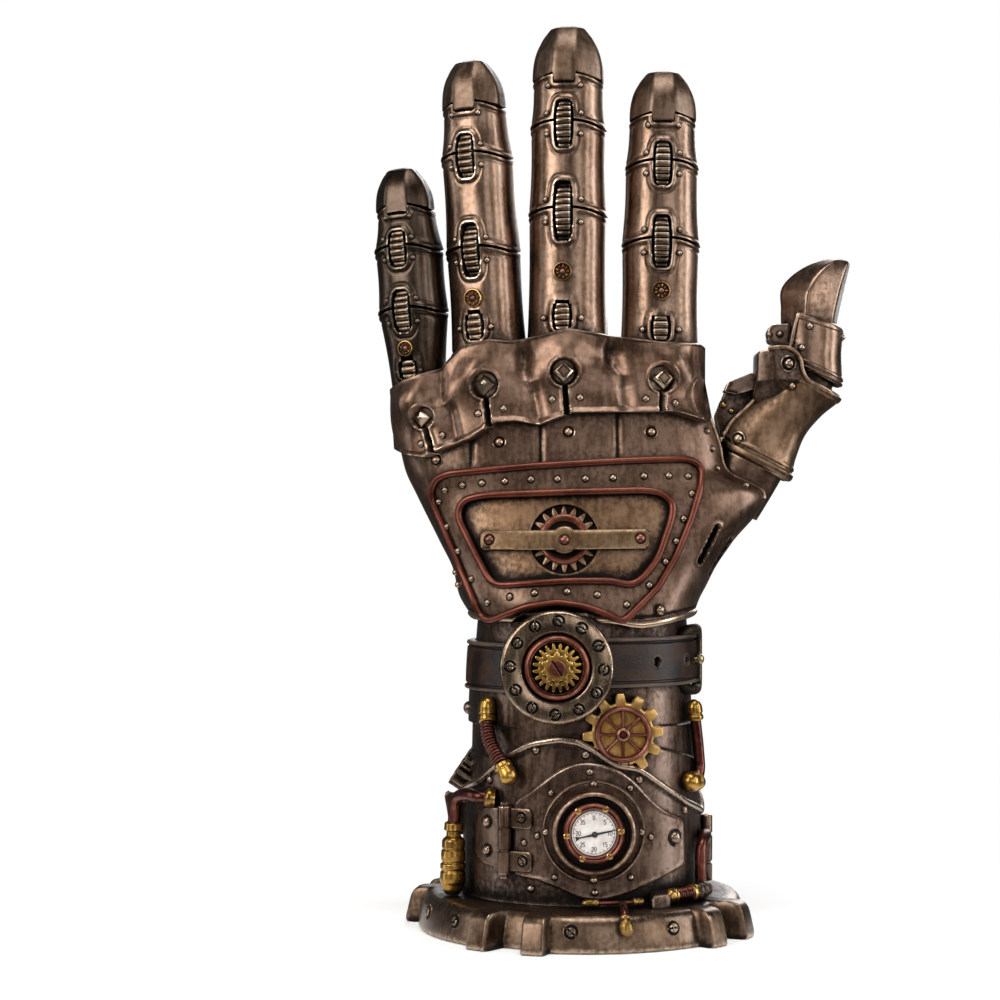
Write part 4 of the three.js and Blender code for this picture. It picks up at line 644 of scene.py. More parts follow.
hinge_coat = antique("hinge_coat", "6d5749", "d2b39d", "140c08", 0.32)
POST = [(0.7, 17.2), (1.2, 17.3), (1.25, 18.3), (1.75, 18.4), (1.85, 18.7), (1.85, 24.3), (1.5, 24.6),
        (1.5, 24.9), (1.85, 25.2), (1.85, 30.4), (1.5, 30.7), (1.5, 31), (1.85, 31.3), (1.85, 36.2),
        (1.75, 36.6), (1.25, 36.7), (1.2, 37.6), (0.7, 37.8)]
LEAF_LIFT, WING_LIFT = 5.0, 3.5
leaf_corners = [[(-20.6, z, 0.8), (-14.6, z, 1.2), (-14.6, z + 5.2, 1.2), (-20.6, z + 5.2, 0.8)]
                for z in (19.4, 30.9)]
leaves = [leaf(corners, 3.6, LEAF_LIFT) for corners in leaf_corners]
wing = leaf([(-29.6, 20.4, 3.5), (-20.6, 19.4, 0.8), (-20.6, 36, 0.8), (-29.6, 35, 3.5)], 2.2, WING_LIFT)
hinge_spot, hinge_face = cuff_front(np.array([-16.9, -17.2]), np.array([22.2, 33.8]), LEAF_LIFT)
wing_spot, wing_face = cuff_front(np.array([-26.4, -26.4]), np.array([23.9, 31.6]), WING_LIFT)
leaf_screws = studs(hinge_spot, hinge_face, screw(1.05), 40, (0.2, 0.4, [0.6, 1.8]))
wing_rivets = studs(wing_spot, wing_face, dome(1.5, 1.3), 18)
put("hatch_hinge", [barrel(-37, 5.1, POST), *leaves, wing, leaf_screws, wing_rivets], hinge_coat, "plate",
    "hinge_left")
STACK = [(0.8, 12.8), (1.5, 12.9), (1.7, 13.2), (1.7, 17.6), (1.3, 17.9), (1.3, 18.3), (1.7, 18.6),
         (1.7, 25.4), (1.3, 25.7), (1.3, 26.1), (1.7, 26.4), (1.7, 30.9), (1.5, 31.2), (0.8, 31.4)]
put("catch_hinge", [barrel(86, 3.6, STACK)], hinge_coat, "plate", "hinge_right")


# Wrist dial: a thick turned plate standing off the strap, with twelve slotted screws, a polished copper
# ring, and two stacked brass gears round a copper slotted hub.
DIAL_X, DIAL_Z = -7.8, 74.3
DIAL_PLATE = [(12.6, 18), (12.6, 30.9), (15.0, 31.0), (15.3, 31.3), (15.3, 32.5), (15.1, 33.0),
              (14.7, 33.4), (14.2, 33.6), (12, 33.65), (9.9, 33.6), (9.4, 33.35), (9.15, 32.9), (9, 32.2),
              (5, 32.2), (1, 32.2)]
dial_spot = round_spots(DIAL_X, DIAL_Z, 12.5, 33.68, 88 + 30 * np.arange(12))
dial_screws = studs(dial_spot, TO_VIEWER, screw(1.06), 40, (0.19, 0.4, 0.9 + 2.3 * np.arange(12)))
dial_coat = antique("dial_coat", "98826d", "ecd9c2", "120b07", 0.26)
put("dial_disc", [skin(lathe(DIAL_PLATE, DIAL_X, DIAL_Z, 128)), dial_screws], dial_coat, "plate",
    "dial_plate")
RING = [(6.9, 32.3), (8.6, 32.3), (8.75, 33.4), (8.6, 34.1), (8.3, 34.5), (7.9, 34.65), (7.55, 34.45),
        (7.4, 34.1), (7.2, 34.2), (6.95, 33.9)]
put("dial_hoop", [hoop(lathe(RING, DIAL_X, DIAL_Z, 96))], copper, "copper", "dial_ring")


def gear(x, z, teeth, root, tip, flat, outs, hub=0.0, per=16, phase=0.0):
    """Toothed disc that faces the viewer: the rim goes between root and tip radius as a blunted wave of
    the angle; rows carry it from its back, over a small bevel, to the face."""
    spin = full_turn(teeth * per)
    wave = np.abs(((spin - phase) * teeth / (2 * np.pi)) % 1 - 0.5) * 2
    rim = root + (tip - root) * step(1 - wave, 0.5 - flat, 0.5 + flat)
    back, front = outs
    rows = [(0, back), (0, front - 0.25), (0.12, front - 0.06), (0.3, front)]
    inset, out = np.array(rows).T[:, :, None]
    edge = points_of(x + (rim - inset) * np.cos(spin), -out, z + (rim - inset) * np.sin(spin))
    inner = [(0.92 * root, front), (0.86 * root, front - hub), (0.5 * root, front - hub),
             (0.1 * root, front - hub)]
    return skin(np.concatenate([edge, lathe(inner, x, z, teeth * per)]))


gear_gold = antique("gear_gold", "cfa04f", "f4dca4", "22150a", 0.3, 1.0, 0.5)
back_wheel = gear(DIAL_X, DIAL_Z, 20, 5.0, 6.6, 0.34, (32.2, 34))
front_wheel = gear(DIAL_X, DIAL_Z, 10, 3.5, 4.4, 0.3, (33.6, 35.0))
put("dial_wheels", [back_wheel, front_wheel], gear_gold, "brass", "dial_gear")
DIAL_HUB = [(2.4, 0), (2.4, 0.9), (2.2, 1.15), (1.7, 1.2), (1.2, 1.2), (0.7, 1.2), (0.3, 1.2)]
dial_hub = studs([(DIAL_X, -34.6, DIAL_Z)], TO_VIEWER, DIAL_HUB, 72, (0.26, 0.3, [0.6]))
put("dial_hub", [dial_hub], copper, "copper")


# Side gear: a chunky brass gear tucked behind the cuff's edge, with a copper hand wheel of eight spokes
# on its face. At the left edge a second, dark wheel leans on the forearm and shows its teeth, with a
# plain cast fin below it.
COG_X, COG_Z = 10, 56.2
cog_gold = antique("cog_gold", "dca04c", "f3cd86", "2c1b0a", 0.4, 0.7, 0.6)
cog_points, cog_faces = gear(COG_X, COG_Z, 12, 8.3, 10.8, 0.2, (24, 29.3), 0.3, 28, np.radians(-11))
under_spot, _ = cuff_front(cog_points[:, 0], cog_points[:, 2], 1.0)
cuff_edge = np.interp(np.degrees(np.arcsin(cog_points[:, 0] / 33)), cuff_turn, cuff_top)
tucked = step(cuff_edge - cog_points[:, 2], 0.4, 1.0) * np.maximum(under_spot[:, 1] - cog_points[:, 1], 0)
side_cog = cog_points + (0, 1, 0) * tucked[:, None], cog_faces, 0.3 + 0 * tucked
put("side_cog", [side_cog], cog_gold, "brass", "side_gear")
WHEEL_RIM = [(6.1, 29.2), (7.5, 29.2), (7.65, 30.2), (7.5, 30.8), (7.1, 31.15), (6.6, 31.05), (6.3, 30.7),
             (6.1, 30)]
spoke_turn = np.radians(45 * np.arange(8))[:, None]
spoke_way = np.linspace(0.8, 6.6, 8)
spoke_line = points_of(COG_X + spoke_way * np.cos(spoke_turn), -30.3 + 0.06 * spoke_way,
                       COG_Z + spoke_way * np.sin(spoke_turn))
spokes = [sweep(line, 0.42, 8, TO_VIEWER) for line in spoke_line]
WHEEL_HUB = [(1.9, 0), (1.9, 1.2), (1.6, 1.6), (1.1, 1.7), (0.9, 1.3), (0.5, 1.3)]
wheel_hub = studs([(COG_X, -29.6, COG_Z)], TO_VIEWER, WHEEL_HUB, 24)
put("hand_wheel", [hoop(lathe(WHEEL_RIM, COG_X, COG_Z, 72)), *spokes, wheel_hub], copper, "copper",
    "spoke_wheel")

cog_points, cog_faces = gear(0, 0, 11, 4.9, 6.7, 0.3, (-4, 2.6), 0.5, 18)
tilt, swing = np.radians(-34), np.radians(-91)
x, y, z = cog_points.T
y, z = y * np.cos(tilt) - z * np.sin(tilt), y * np.sin(tilt) + z * np.cos(tilt)
cog_points = points_of(x * np.cos(swing) - y * np.sin(swing), x * np.sin(swing) + y * np.cos(swing), z)
shade_coat = antique("shade_coat", "4c3e34", "8f7c6a", "0e0906", 0.36, 1.0, 1.4)
put("left_cog", [(cog_points + on_forearm(swing, 44.0, 0.8), cog_faces)], shade_coat, "brass", "left_gear")


def slab(corners, back, front):
    """Flat plate that faces the viewer: an eased outline about its middle, its front edge rounded over."""
    line = even(rounded(corners), 120)
    middle = line.mean(axis=0)
    share = np.array([1, 1, 0.98, 0.93, 0.6, 0.2])[:, None]
    out = np.array([back, front - 0.5, front - 0.12, front, front, front])[:, None]
    spots = middle + share[..., None] * (line - middle)
    return skin(points_of(spots[..., 0], -out, spots[..., 1]))


left_fin = slab([(-31, 25, 0.5), (-36.7, 25.4, 0.8), (-38.6, 36.4, 0.8), (-37.4, 37.4, 0.6),
                 (-31, 36.4, 0.5)], -3.4, -0.4)
put("left_fin", [left_fin], shade_coat, "plate")


# Pipes and hoses: copper tubes and a wire-wound hose with brass ferrules, bends and a ringed valve body,
# lying on the cuff. They are cast on, so none of them is loose.
def run_of_pipe(way, start, end, radii, up, ribs=0.0, columns=20):
    """One stretch of a pipe: the way's turns, heights and lifts are laid on the forearm as one curve, cut
    from start to end, and swept with radii given at shares of the stretch; ribs adds wire rings."""
    turn, z, lift = np.array(way, float).T
    path = bend(on_forearm(np.radians(turn), z, lift), 401)
    path = path[int(400 * start):int(400 * end) + 1]
    along = length_of(path)
    even_steps = np.linspace(0, along[-1], max(24, int(along[-1] / 0.14)))
    path = np.stack([np.interp(even_steps, along, path[:, axis]) for axis in range(3)], axis=1)
    along = length_of(path)
    radius = np.interp(along / along[-1], *np.array(radii, float).T)
    if ribs:
        radius = radius + 0.45 * np.abs(np.sin(np.pi * along / ribs)) - 0.2
    return sweep(path, radius, columns, up)


CAP = np.array([(0, 0.08), (0.02, 0.34), (0.07, 0.6), (0.14, 0.78), (0.24, 0.92), (0.36, 1), (0.62, 1.03),
                (0.66, 0.92), (0.72, 0.92), (0.76, 1.04), (0.92, 1.04), (0.97, 0.95), (1, 0.75)])


def ferrule(radius, turned=False):
    """Shares and radii of a short brass sleeve: a domed free end, a neck, and a collar on the pipe."""
    rows = CAP * (1, radius)
    return (rows * (-1, 1) + (1, 0))[::-1] if turned else rows


dull_brass = antique("dull_brass", "8d6d38", "d0b27a", "1f1307", 0.34, 1.0, 0.5)
pipe_copper = antique("pipe_copper", "63332a", "a3705f", "190a06", 0.31, 1.0, 0.4)
FRONT, LEVEL = (0.0, 1.0, 0.0), (0.0, 0.0, 1.0)
coil_way = [(-52, 65.4, 3), (-52, 60, 3), (-47, 54, 4.6), (-38, 47.6, 5.4), (-32, 43, 6.4)]
side_way = [(66, 64.2, 2.6), (67, 58, 2.9), (69, 50, 3.2), (69, 44.5, 3.4), (64, 42, 3.4), (54, 42.4, 3.2)]
valve_way = [(-47, 38.0, 2.4), (-52, 38.4, 5.4), (-60, 38.6, 6.2), (-69, 36.8, 6.4), (-72, 31.5, 6.4),
             (-72, 24, 6.5), (-72, 10.4, 6.5)]
riser_way = [(79, 26.4, 3.6), (71, 26.4, 4.4), (64, 24.2, 4.8), (62, 19, 4.9), (62, 10.4, 4.9)]
floor_way = [(35, 12.6, 6.2), (44, 12.7, 6.3), (54, 12.8, 6.4), (63, 13, 6.8)]
drip_way = [(-2, 11.7, 5.8), (8, 11.7, 5.8), (17, 11.7, 5.8), (25, 11.7, 5.8)]
coil = run_of_pipe(coil_way, 0.2, 0.86, [(0, 1.75), (1, 1.75)], FRONT, 0.92)
coil_ends = [run_of_pipe(coil_way, 0, 0.27, ferrule(2.35), FRONT, 0, 28),
             run_of_pipe(coil_way, 0.76, 1, ferrule(2.5, True), FRONT, 0, 28)]
put("coil_winding", [coil], pipe_copper, "copper", "coil_hose")
put("coil_ferrules", coil_ends, brass, "brass")
side_tube = run_of_pipe(side_way, 0.1, 0.86, [(0, 1.55), (1, 1.55)], FRONT)
side_ends = [run_of_pipe(side_way, 0, 0.2, ferrule(2.2), FRONT, 0, 28),
             run_of_pipe(side_way, 0.78, 1, ferrule(2.7, True), FRONT, 0, 28)]
put("side_tube", [side_tube], pipe_copper, "copper", "side_pipe")
put("side_ferrules", side_ends, brass, "brass")
VALVE = [(0, 1.7), (0.03, 2.6), (0.12, 2.7), (0.14, 2.0), (0.2, 2.0), (0.24, 2.9), (0.27, 3.2), (0.36, 3.2),
         (0.37, 3.0), (0.39, 3.0), (0.4, 3.3), (0.47, 3.4), (0.54, 3.3), (0.55, 3.05), (0.57, 3.05),
         (0.58, 3.5), (0.64, 3.55), (0.66, 3.2), (0.68, 3.2), (0.7, 3.5), (0.78, 3.6), (0.83, 3.5),
         (0.86, 3.2), (0.93, 2.9), (0.98, 2.2), (1, 1.8)]
VALVE_ROSE = [(0, 2.6), (0.5, 2.7), (0.8, 2.5), (1, 1.6)]
valve_parts = [run_of_pipe(valve_way, 0.52, 1, VALVE, FRONT, 0, 32),
               run_of_pipe(valve_way, 0, 0.07, VALVE_ROSE, FRONT, 0, 24)]
put("valve_body", valve_parts, brass, "brass", "valve_pipe")
put("valve_elbow", [run_of_pipe(valve_way, 0.04, 0.56, [(0, 1.75), (1, 1.75)], FRONT)], pipe_copper,
    "copper")
RISER = [(0, 1.2), (0.03, 1.6), (0.12, 1.65), (0.3, 1.6), (0.84, 1.5), (0.86, 1.9), (1, 1.9)]
put("riser_tube", [run_of_pipe(riser_way, 0, 1, RISER, FRONT)], pipe_copper, "copper", "riser_pipe")
floor_winding = run_of_pipe(floor_way, 0.1, 0.6, [(0, 1.7), (1, 1.7)], LEVEL, 0.8)
put("floor_winding", [floor_winding], pipe_copper, "copper", "floor_hose")
SLEEVE_END = [(0, 1.9), (0.5, 2.1), (0.85, 2.0), (0.95, 1.5), (1, 0.6)]
put("floor_sleeve", [run_of_pipe(floor_way, 0.5, 1, SLEEVE_END, LEVEL, 2.4)], shade_coat, "copper")
CLIP = [(0, 1.6), (0.08, 2.2), (0.4, 2.3), (0.5, 1.9), (0.6, 2.3), (0.92, 2.2), (1, 1.6)]
floor_ends = [run_of_pipe(floor_way, 0, 0.2, ferrule(1.9), LEVEL),
              run_of_pipe(floor_way, 0.5, 0.62, CLIP, LEVEL)]
put("floor_ferrules", floor_ends, brass, "brass")
put("drip_tube", [run_of_pipe(drip_way, 0.1, 0.9, [(0, 0.6), (1, 0.6)], LEVEL)], copper, "copper")
drip_ends = [run_of_pipe(drip_way, 0, 0.26, ferrule(1.15), LEVEL),
             run_of_pipe(drip_way, 0.8, 1, ferrule(1.15, True), LEVEL)]
put("drip_ferrules", drip_ends, dull_brass, "brass", "drip_pipe")
stub_path = bend([(9.5, -34.2, 11.6), (9.5, -39, 11.9), (9.6, -43.4, 11.2), (9.8, -45.6, 8.8),
                  (10.2, -46.2, 6), (10.2, -46.2, 4.2)], 90)
put("drip_stub", [sweep(stub_path[:66], 1.0, 16, (1, 0, 0))], pipe_copper, "copper")
BULB = [(0, 1.0), (0.06, 1.3), (0.14, 1.4), (0.2, 1.2), (0.3, 1.5), (0.5, 1.85), (0.7, 1.9), (0.84, 1.6),
        (0.94, 1.0), (1, 0.3)]
bulb_radius = np.interp(np.linspace(0, 1, 30), *np.array(BULB).T)
put("drip_bulb", [sweep(stub_path[56:86], bulb_radius, 20, (1, 0, 0))], dull_brass, "brass")
block_line = even(rounded([(17.4, 10, 0.4), (22.8, 10, 0.4), (22.8, 13.6, 1.2), (17.4, 13.6, 1.6)]), 72)
block_rows = np.array([(1, 2), (1, 7.6), (0.97, 8.1), (0.88, 8.4), (0.5, 8.45), (0.2, 8.45)])
block_middle = block_line.mean(axis=0)
block_spot = block_middle + block_rows[:, :1, None] * (block_line - block_middle)
block_lift = block_rows[:, 1:] + 0 * block_spot[..., 0]
block_front, _ = cuff_front(block_spot[..., 0], block_spot[..., 1], block_lift)
put("hose_block", [skin(block_front)], cuff_coat, "plate")


# Hand: the flat back and palm of the glove, one shell swelling towards the knuckles, with grooves between
# its four long plates, a rolled hem above the wrist, two cut slots below the thumb and domed rivets.
HAND = bend(np.array([(86, -30.5, 31, 28.5, 28.5, 2.3), (92, -34.2, 33.3, 26.8, 26.4, 2.4),
                      (100, -36.2, 37, 24.6, 23.6, 2.5), (107, -39.6, 41.7, 22.8, 21.2, 2.6),
                      (120.5, -46.3, 51.2, 19.6, 17.6, 2.6), (127.5, -49.5, 40.6, 18.2, 16.4, 2.7),
                      (134, -51, 38.8, 17, 15.4, 2.8), (141, -52.3, 36.4, 15.8, 14.4, 2.9),
                      (148, -52.4, 33.8, 14.8, 13.6, 3), (158, -51.8, 33, 13.6, 12.6, 3)]), 400)


def on_hand(angle, z, lift):
    """Point of the hand's rounded oblong: its middle plus half sizes times signed powers of sine and
    cosine."""
    left, right, front, back, square = (np.interp(z, HAND[:, 0], HAND[:, row]) for row in range(1, 6))
    sine, cosine = np.sin(angle), np.cos(angle)
    x = (left + right) / 2 + ((right - left) / 2 + lift) * np.sign(sine) * np.abs(sine) ** (2 / square)
    y = -(np.where(cosine > 0, front, back) + lift) * np.sign(cosine) * np.abs(cosine) ** (2 / square)
    return points_of(x, y, z)


def hand_front(x, z, lift):
    """Front point of the hand at a place across, and the way it faces."""
    def depth(across, high):
        left, right, front, _, square = (np.interp(high, HAND[:, 0], HAND[:, row]) for row in range(1, 6))
        share = np.abs((across - (left + right) / 2) / ((right - left) / 2 + lift))
        return -(front + lift) * (1 - np.minimum(share, 0.999) ** square) ** (1 / square)
    spot = points_of(x, depth(x, z), z)
    slope_x = (depth(x + 0.2, z) - depth(x - 0.2, z)) / 0.4
    slope_z = (depth(x, z + 0.2) - depth(x, z - 0.2)) / 0.4
    facing = points_of(slope_x, -1.0, slope_z)
    return spot, facing / np.linalg.norm(facing, axis=-1, keepdims=True)


def from_line(x, z, first, last):
    """Distance from a straight stretch in the front view."""
    way = np.subtract(last, first)
    share = np.clip(((x - first[0]) * way[0] + (z - first[1]) * way[1]) / (way @ way), 0, 1)
    return np.hypot(x - first[0] - share * way[0], z - first[1] - share * way[1])


SHIELD_EYE = np.array([-5.6, 108.4])
PLATE_LINES = (-31.2, -12.0, 9.3)
hand_u = np.union1d(np.linspace(-1, 1, 270), np.linspace(0.9, 0.9999, 44))
palm_u = np.linspace(1, -1, 82)[1:-1]
hand_angle = np.concatenate([np.sign(hand_u) * np.arcsin(np.abs(hand_u) ** 1.3),
                             np.pi - np.sign(palm_u) * np.arcsin(np.abs(palm_u) ** 1.3)])
hand_z = np.concatenate([np.linspace(86, 88.4, 12), np.linspace(88.8, 146.4, 150),
                         np.linspace(146.6, 158, 12)])[:, None]
hand_bare = on_hand(hand_angle, hand_z, 0.0)
hand_x, hand_facing = hand_bare[..., 0], np.cos(hand_angle) > 0
hand_lift = 0.75 * np.sin(np.pi * np.clip((hand_z - 85.9) / 2.0, 0, 1)) ** 0.6 + 0 * hand_x
plated = step(hand_z, 126, 131) * hand_facing
for groove in PLATE_LINES:
    hand_lift = hand_lift - 0.55 * np.exp(-((hand_x - groove) / 1.1) ** 2) * plated
front_slot = from_line(hand_x, hand_z, (36.4, 111.5), (31.8, 102.4))
side_slot = from_line(hand_bare[..., 1], hand_z, (-9.9, 107.9), (-9.6, 99.1)) + 9 * (hand_x < 30)
slot_off = np.minimum(front_slot, side_slot) - 0.95
slot_lift = 0.25 * (1 - step(slot_off, 0.4, 0.9)) - 2.3 * (1 - step(slot_off, -0.35, 0.05))
hand_lift = hand_lift + hand_facing * slot_lift
thenar = 2.4 * np.exp(-((hand_x - 22) / 13) ** 2 - ((hand_z - 112) / 13) ** 2)
heel = 1.8 * np.exp(-((hand_x + 27) / 11) ** 2 - ((hand_z - 110) / 17) ** 2)
palm_lines = (((33, 128), (8, 118)), ((8, 118), (2, 96)), ((-50, 140), (-22, 134)), ((-22, 134), (22, 143)))
palm_off = np.min([from_line(hand_x, hand_z, *ends) for ends in palm_lines], axis=0)
pads = thenar + heel + 0.35 * np.exp(-((palm_off - 1.3) / 0.5) ** 2) - 0.8 * np.exp(-(palm_off / 0.8) ** 2)
hand_lift = hand_lift + pads * ~hand_facing * step(np.abs(np.cos(hand_angle)), 0.0, 0.3)
hand_lift = hand_lift - 2.2 * step(hand_z, 156, 158) ** 2
hand_lift = hand_lift - 3.4 * step(hand_z, 144.2, 147.5) * step(np.cos(hand_angle), 0.1, 0.5)
arch = np.hypot(hand_x - DIAL_X, hand_z - DIAL_Z) - 16.5
hand_rings = on_hand(hand_angle, hand_z, hand_lift)
hand_rings[..., 1] += 7 * (1 - step(arch, -0.6, 0)) * hand_facing
front_rise = np.interp(hand_x, [6, 9, 12, 15, 18, 21, 33], [0, -0.4, -1.1, -1.45, -1.2, -0.75, 1.3])
hem_rise = np.where(hand_facing, front_rise, np.interp(hand_x, [8, 33], [0, 1.3]))
hand_rings[..., 2] += hem_rise * (1 - step(hand_z, 88.5, 97))
hand_rings[..., 0] = np.where(hand_z > 146.5, np.maximum(hand_rings[..., 0], -34.4), hand_rings[..., 0])
back_spot, back_face = hand_front(np.array([-40.4, -23.2, -4.3, 18.4]),
                                  np.array([130, 134.8, 137.6, 137.6]), 0)
side_spot, side_face = hand_front(np.array([20.3]), np.array([89.2]), 0.2)
# Third column is tone: painted shade in the groove round the raised middle; the rim and the domed middle are
# rubbed pale.
RINGED = [(1.9, -0.2, 0), (1.9, 0.15, 0), (1.7, 0.32, 0.2), (1.45, 0.12, -0.45), (1.15, 0.12, -0.5),
          (1.1, 0.5, 0), (0.9, 0.9, 0.3), (0.55, 1.15, 0.4), (0.2, 1.22, 0.4)]
rim_z = np.array([123, 127.6, 133, 138, 143, 146.5])
rim_spot = on_hand(np.radians(64), rim_z, 0.0)
rim_face = on_hand(np.radians(64), rim_z, 1.0) - rim_spot
knob_z = np.array([95.6, 99.0])
knob_spot = on_hand(np.radians(-76), knob_z, 0.0)
knob_heart = on_hand(np.radians(-76), knob_z, -1.0)
edge_z = np.linspace(119.5, 149, 90)
hand_bead = sweep(on_hand(np.radians(76), edge_z, 0.1), 0.6, 10, TO_VIEWER)
hand_points, hand_faces = skin(hand_rings)
# Painted shade on the hand: dark lines along the plate grooves and just above the hem, dark in the cut
# slots, darkest where the hand shows through the shield's window; the rolled hem is rubbed pale.
window_shade_zone = np.hypot(hand_points[:, 0] - SHIELD_EYE[0], hand_points[:, 2] - SHIELD_EYE[1]) < 9.8
crease_shade = sum(np.exp(-((hand_x - groove) / 0.42) ** 2) for groove in PLATE_LINES) * plated
hem_rub_and_shade = 0.5 * (hand_z < 88.0) - 0.8 * np.exp(-((hand_z - 88.8) / 0.5) ** 2)
slot_shade = (1 - step(slot_off, -0.4, 0.1)) * hand_facing
hand_shade_and_rub = np.pad((hem_rub_and_shade - 0.65 * crease_shade - 0.9 * slot_shade).ravel(), (0, 2))
hand_shade_and_rub = hand_shade_and_rub - 1.0 * (window_shade_zone & (hand_points[:, 1] < 0))
hand_studs = [studs(back_spot, back_face, RINGED, 20), studs(side_spot, side_face, dome(1.4, 1.2), 18),
              studs(knob_spot, knob_spot - knob_heart, dome(1.0, 1.1)),
              studs(rim_spot, rim_face, dome(0.8, 0.75))]
put("hand_shell", [(hand_points, hand_faces, hand_shade_and_rub), *hand_studs, hand_bead], plate_coat, "plate",
    "hand_core")


# Shield on the back of the hand: a riveted plate with a sunk panel and a round window, edged inside and
# out with copper piping. A copper gear with pale teeth shows in the window behind a bronze bar.
def eased(points, count, reach):
    """Even points along a closed outline, each averaged with its neighbours so that corners are round."""
    run = even(np.array(points, float), count)
    return np.stack([soften(run[:, axis], reach, "wrap") for axis in range(2)], axis=1)


shield_line = eased([(-40.3, 125), (-37.1, 126.3), (-23.8, 127.4), (-14.6, 128.2), (9, 129.6), (22, 130.1),
                     (28.8, 130.2), (32.3, 128.2), (31.4, 121.7), (28.8, 113.6), (24.7, 103.8),
                     (19.6, 95.4), (10.1, 86.3), (5.5, 88.6), (-0.4, 90.5), (-7.5, 91.6), (-16, 90.5),
                     (-21.2, 88.3), (-25.7, 86.3), (-28.3, 87.3), (-32.9, 98), (-37.5, 109.2), (-41.8, 119),
                     (-41.8, 122.2)], 420, 7)
panel_line = eased([(-32.7, 119.3), (-27, 120.4), (-4, 121.2), (15.5, 121.7), (20.9, 121.2), (24.2, 118.2),
                    (23.5, 113.6), (19.6, 103.1), (15.5, 97.9), (12.3, 96), (7.1, 97.3), (-4, 97.3),
                    (-23.8, 96), (-25.7, 96.9), (-29.7, 104.5), (-34.3, 113.6), (-34.6, 116.3)], 420, 12)
shield_spin = np.linspace(-np.pi, np.pi, 480, endpoint=False)
outer, inner = (polar(line, SHIELD_EYE, shield_spin) for line in (shield_line, panel_line))
panel_rows = [(9.3 + 0 * outer, 0.1), (9.3 + 0 * outer, 1.0), (9.5 + 0 * outer, 1.3)]
panel_rows += [(9.8 + (inner - 9.8) * share, 1.35) for share in np.linspace(0, 1, 26)] + [(inner, 0.1)]
band_rows = [(inner - 0.6, 0.1), (inner - 0.6, 1.7), (inner - 0.2, 2.15), (inner + 0.2, 2.25)]
band_rows += [(inner + 0.4 + (outer - inner - 0.9) * share, 2.25) for share in np.linspace(0, 1, 12)]
band_rows += [(outer - 0.2, 2.1), (outer, 1.7), (outer, 0.1)]


def on_shield(rows):
    """Rows of distance from the window's eye and lift, laid on the hand."""
    reach = np.stack([row[0] for row in rows])
    lift = np.array([row[1] for row in rows])[:, None]
    x, z = SHIELD_EYE[0] + reach * np.cos(shield_spin), SHIELD_EYE[1] + reach * np.sin(shield_spin)
    return hand_front(x, z, lift)[0]


band_rivets = np.array([(-38.0, 121.7), (-33.2, 123.0), (-27.9, 123.6), (-21.7, 124.1), (-14.6, 124.6),
                        (-7.4, 124.7), (0.2, 124.8), (7.7, 125.0), (16.1, 125.5), (22.9, 125.6),
                        (28.3, 125.4), (29.2, 120.7), (26.8, 113.9), (24.7, 107.8), (21.7, 102.3),
                        (17.2, 96.0), (11.0, 90.9), (3.1, 93.6), (-5.0, 94.4), (-13.7, 94.0), (-20.3, 92.9),
                        (-26.4, 91.2), (-30.7, 97.5), (-34.4, 105.1), (-37.5, 111.6), (-39.7, 118.5)])
band_spot, band_face = hand_front(band_rivets[:, 0], band_rivets[:, 1], 2.2)
put("shield_band", [hoop(on_shield(band_rows))], plate_coat, "plate", "back_shield")
polished = antique("polished_studs", "8f7763", "d0baa3", "1a100a", 0.34)
put("band_rivets", [studs(band_spot, band_face, dome(0.92, 0.85))], polished, "bronze")
panel_coat = antique("panel_coat", "94755b", "d2b598", "150d08", 0.4)
panel_points, panel_faces = hoop(on_shield(panel_rows))
# Painted shade on the panel: dark on the window's wall, darker within 5 mm of the inner piping (painted
# shade and patina), towards the bottom and towards the left.
window_wall_shade = np.repeat([-0.8, -0.8, -0.5] + [0.0] * 27, len(shield_spin))
from_eye = np.hypot(panel_points[:, 0] - SHIELD_EYE[0], panel_points[:, 2] - SHIELD_EYE[1])
panel_in = np.tile(inner, 30) - from_eye
panel_shade = -0.36 * (1 - step(panel_in, 0, 5)) - 0.32 * (1 - step(panel_points[:, 2], 99, 107))
panel_shade = panel_shade - 0.22 * (1 - step(panel_points[:, 0], -31, -21))
panel_shade = np.maximum(window_wall_shade + panel_shade, -0.8)
put("shield_panel", [(panel_points, panel_faces, panel_shade)], panel_coat, "plate")
PIPING_LIFT, PIPING_RADIUS = 2.7, 0.98
for name, line, node in (("shield_piping", shield_line, "piping_outer"),
                         ("panel_piping", panel_line, "piping_inner")):
    path, _ = hand_front(line[:, 0], line[:, 1], PIPING_LIFT)
    put(name, [sweep(path, PIPING_RADIUS, 16, TO_VIEWER, True)], copper, "copper", node)


def lay(shell):
    """Moves a flat piece that faces the viewer back onto the hand, point by point, by its depth there."""
    points, faces = shell
    ground_spot, _ = hand_front(points[:, 0], points[:, 2], 0.0)
    return points + (0, 1, 0) * ground_spot, faces


put("window_teeth", [lay(gear(*SHIELD_EYE, 18, 6.5, 9.0, 0.46, (-0.6, 0.7), 0.75))], panel_coat, "bronze")
WINDOW_RING = [(4.9, -0.3), (6.8, -0.3), (6.9, 0.7), (6.5, 1.1), (5.9, 1.15), (5.3, 0.9), (4.9, 0.4)]
put("window_ring", [lay(hoop(lathe(WINDOW_RING, *SHIELD_EYE, 72)))], copper, "copper", "shield_gear")
BAR_LEFT, BAR_RIGHT, BAR_HALF, BAR_EYE = -28.2, 17.2, 2.65, 3.7
bar_x = np.linspace(BAR_LEFT, BAR_RIGHT, 170)[:, None]
bar_half = np.maximum(BAR_HALF, np.sqrt(np.clip(BAR_EYE ** 2 - (bar_x - SHIELD_EYE[0]) ** 2, 0, None)))
bar_half = np.minimum(bar_half, 1.9 + 1.1 * np.minimum(bar_x - BAR_LEFT, BAR_RIGHT - bar_x))
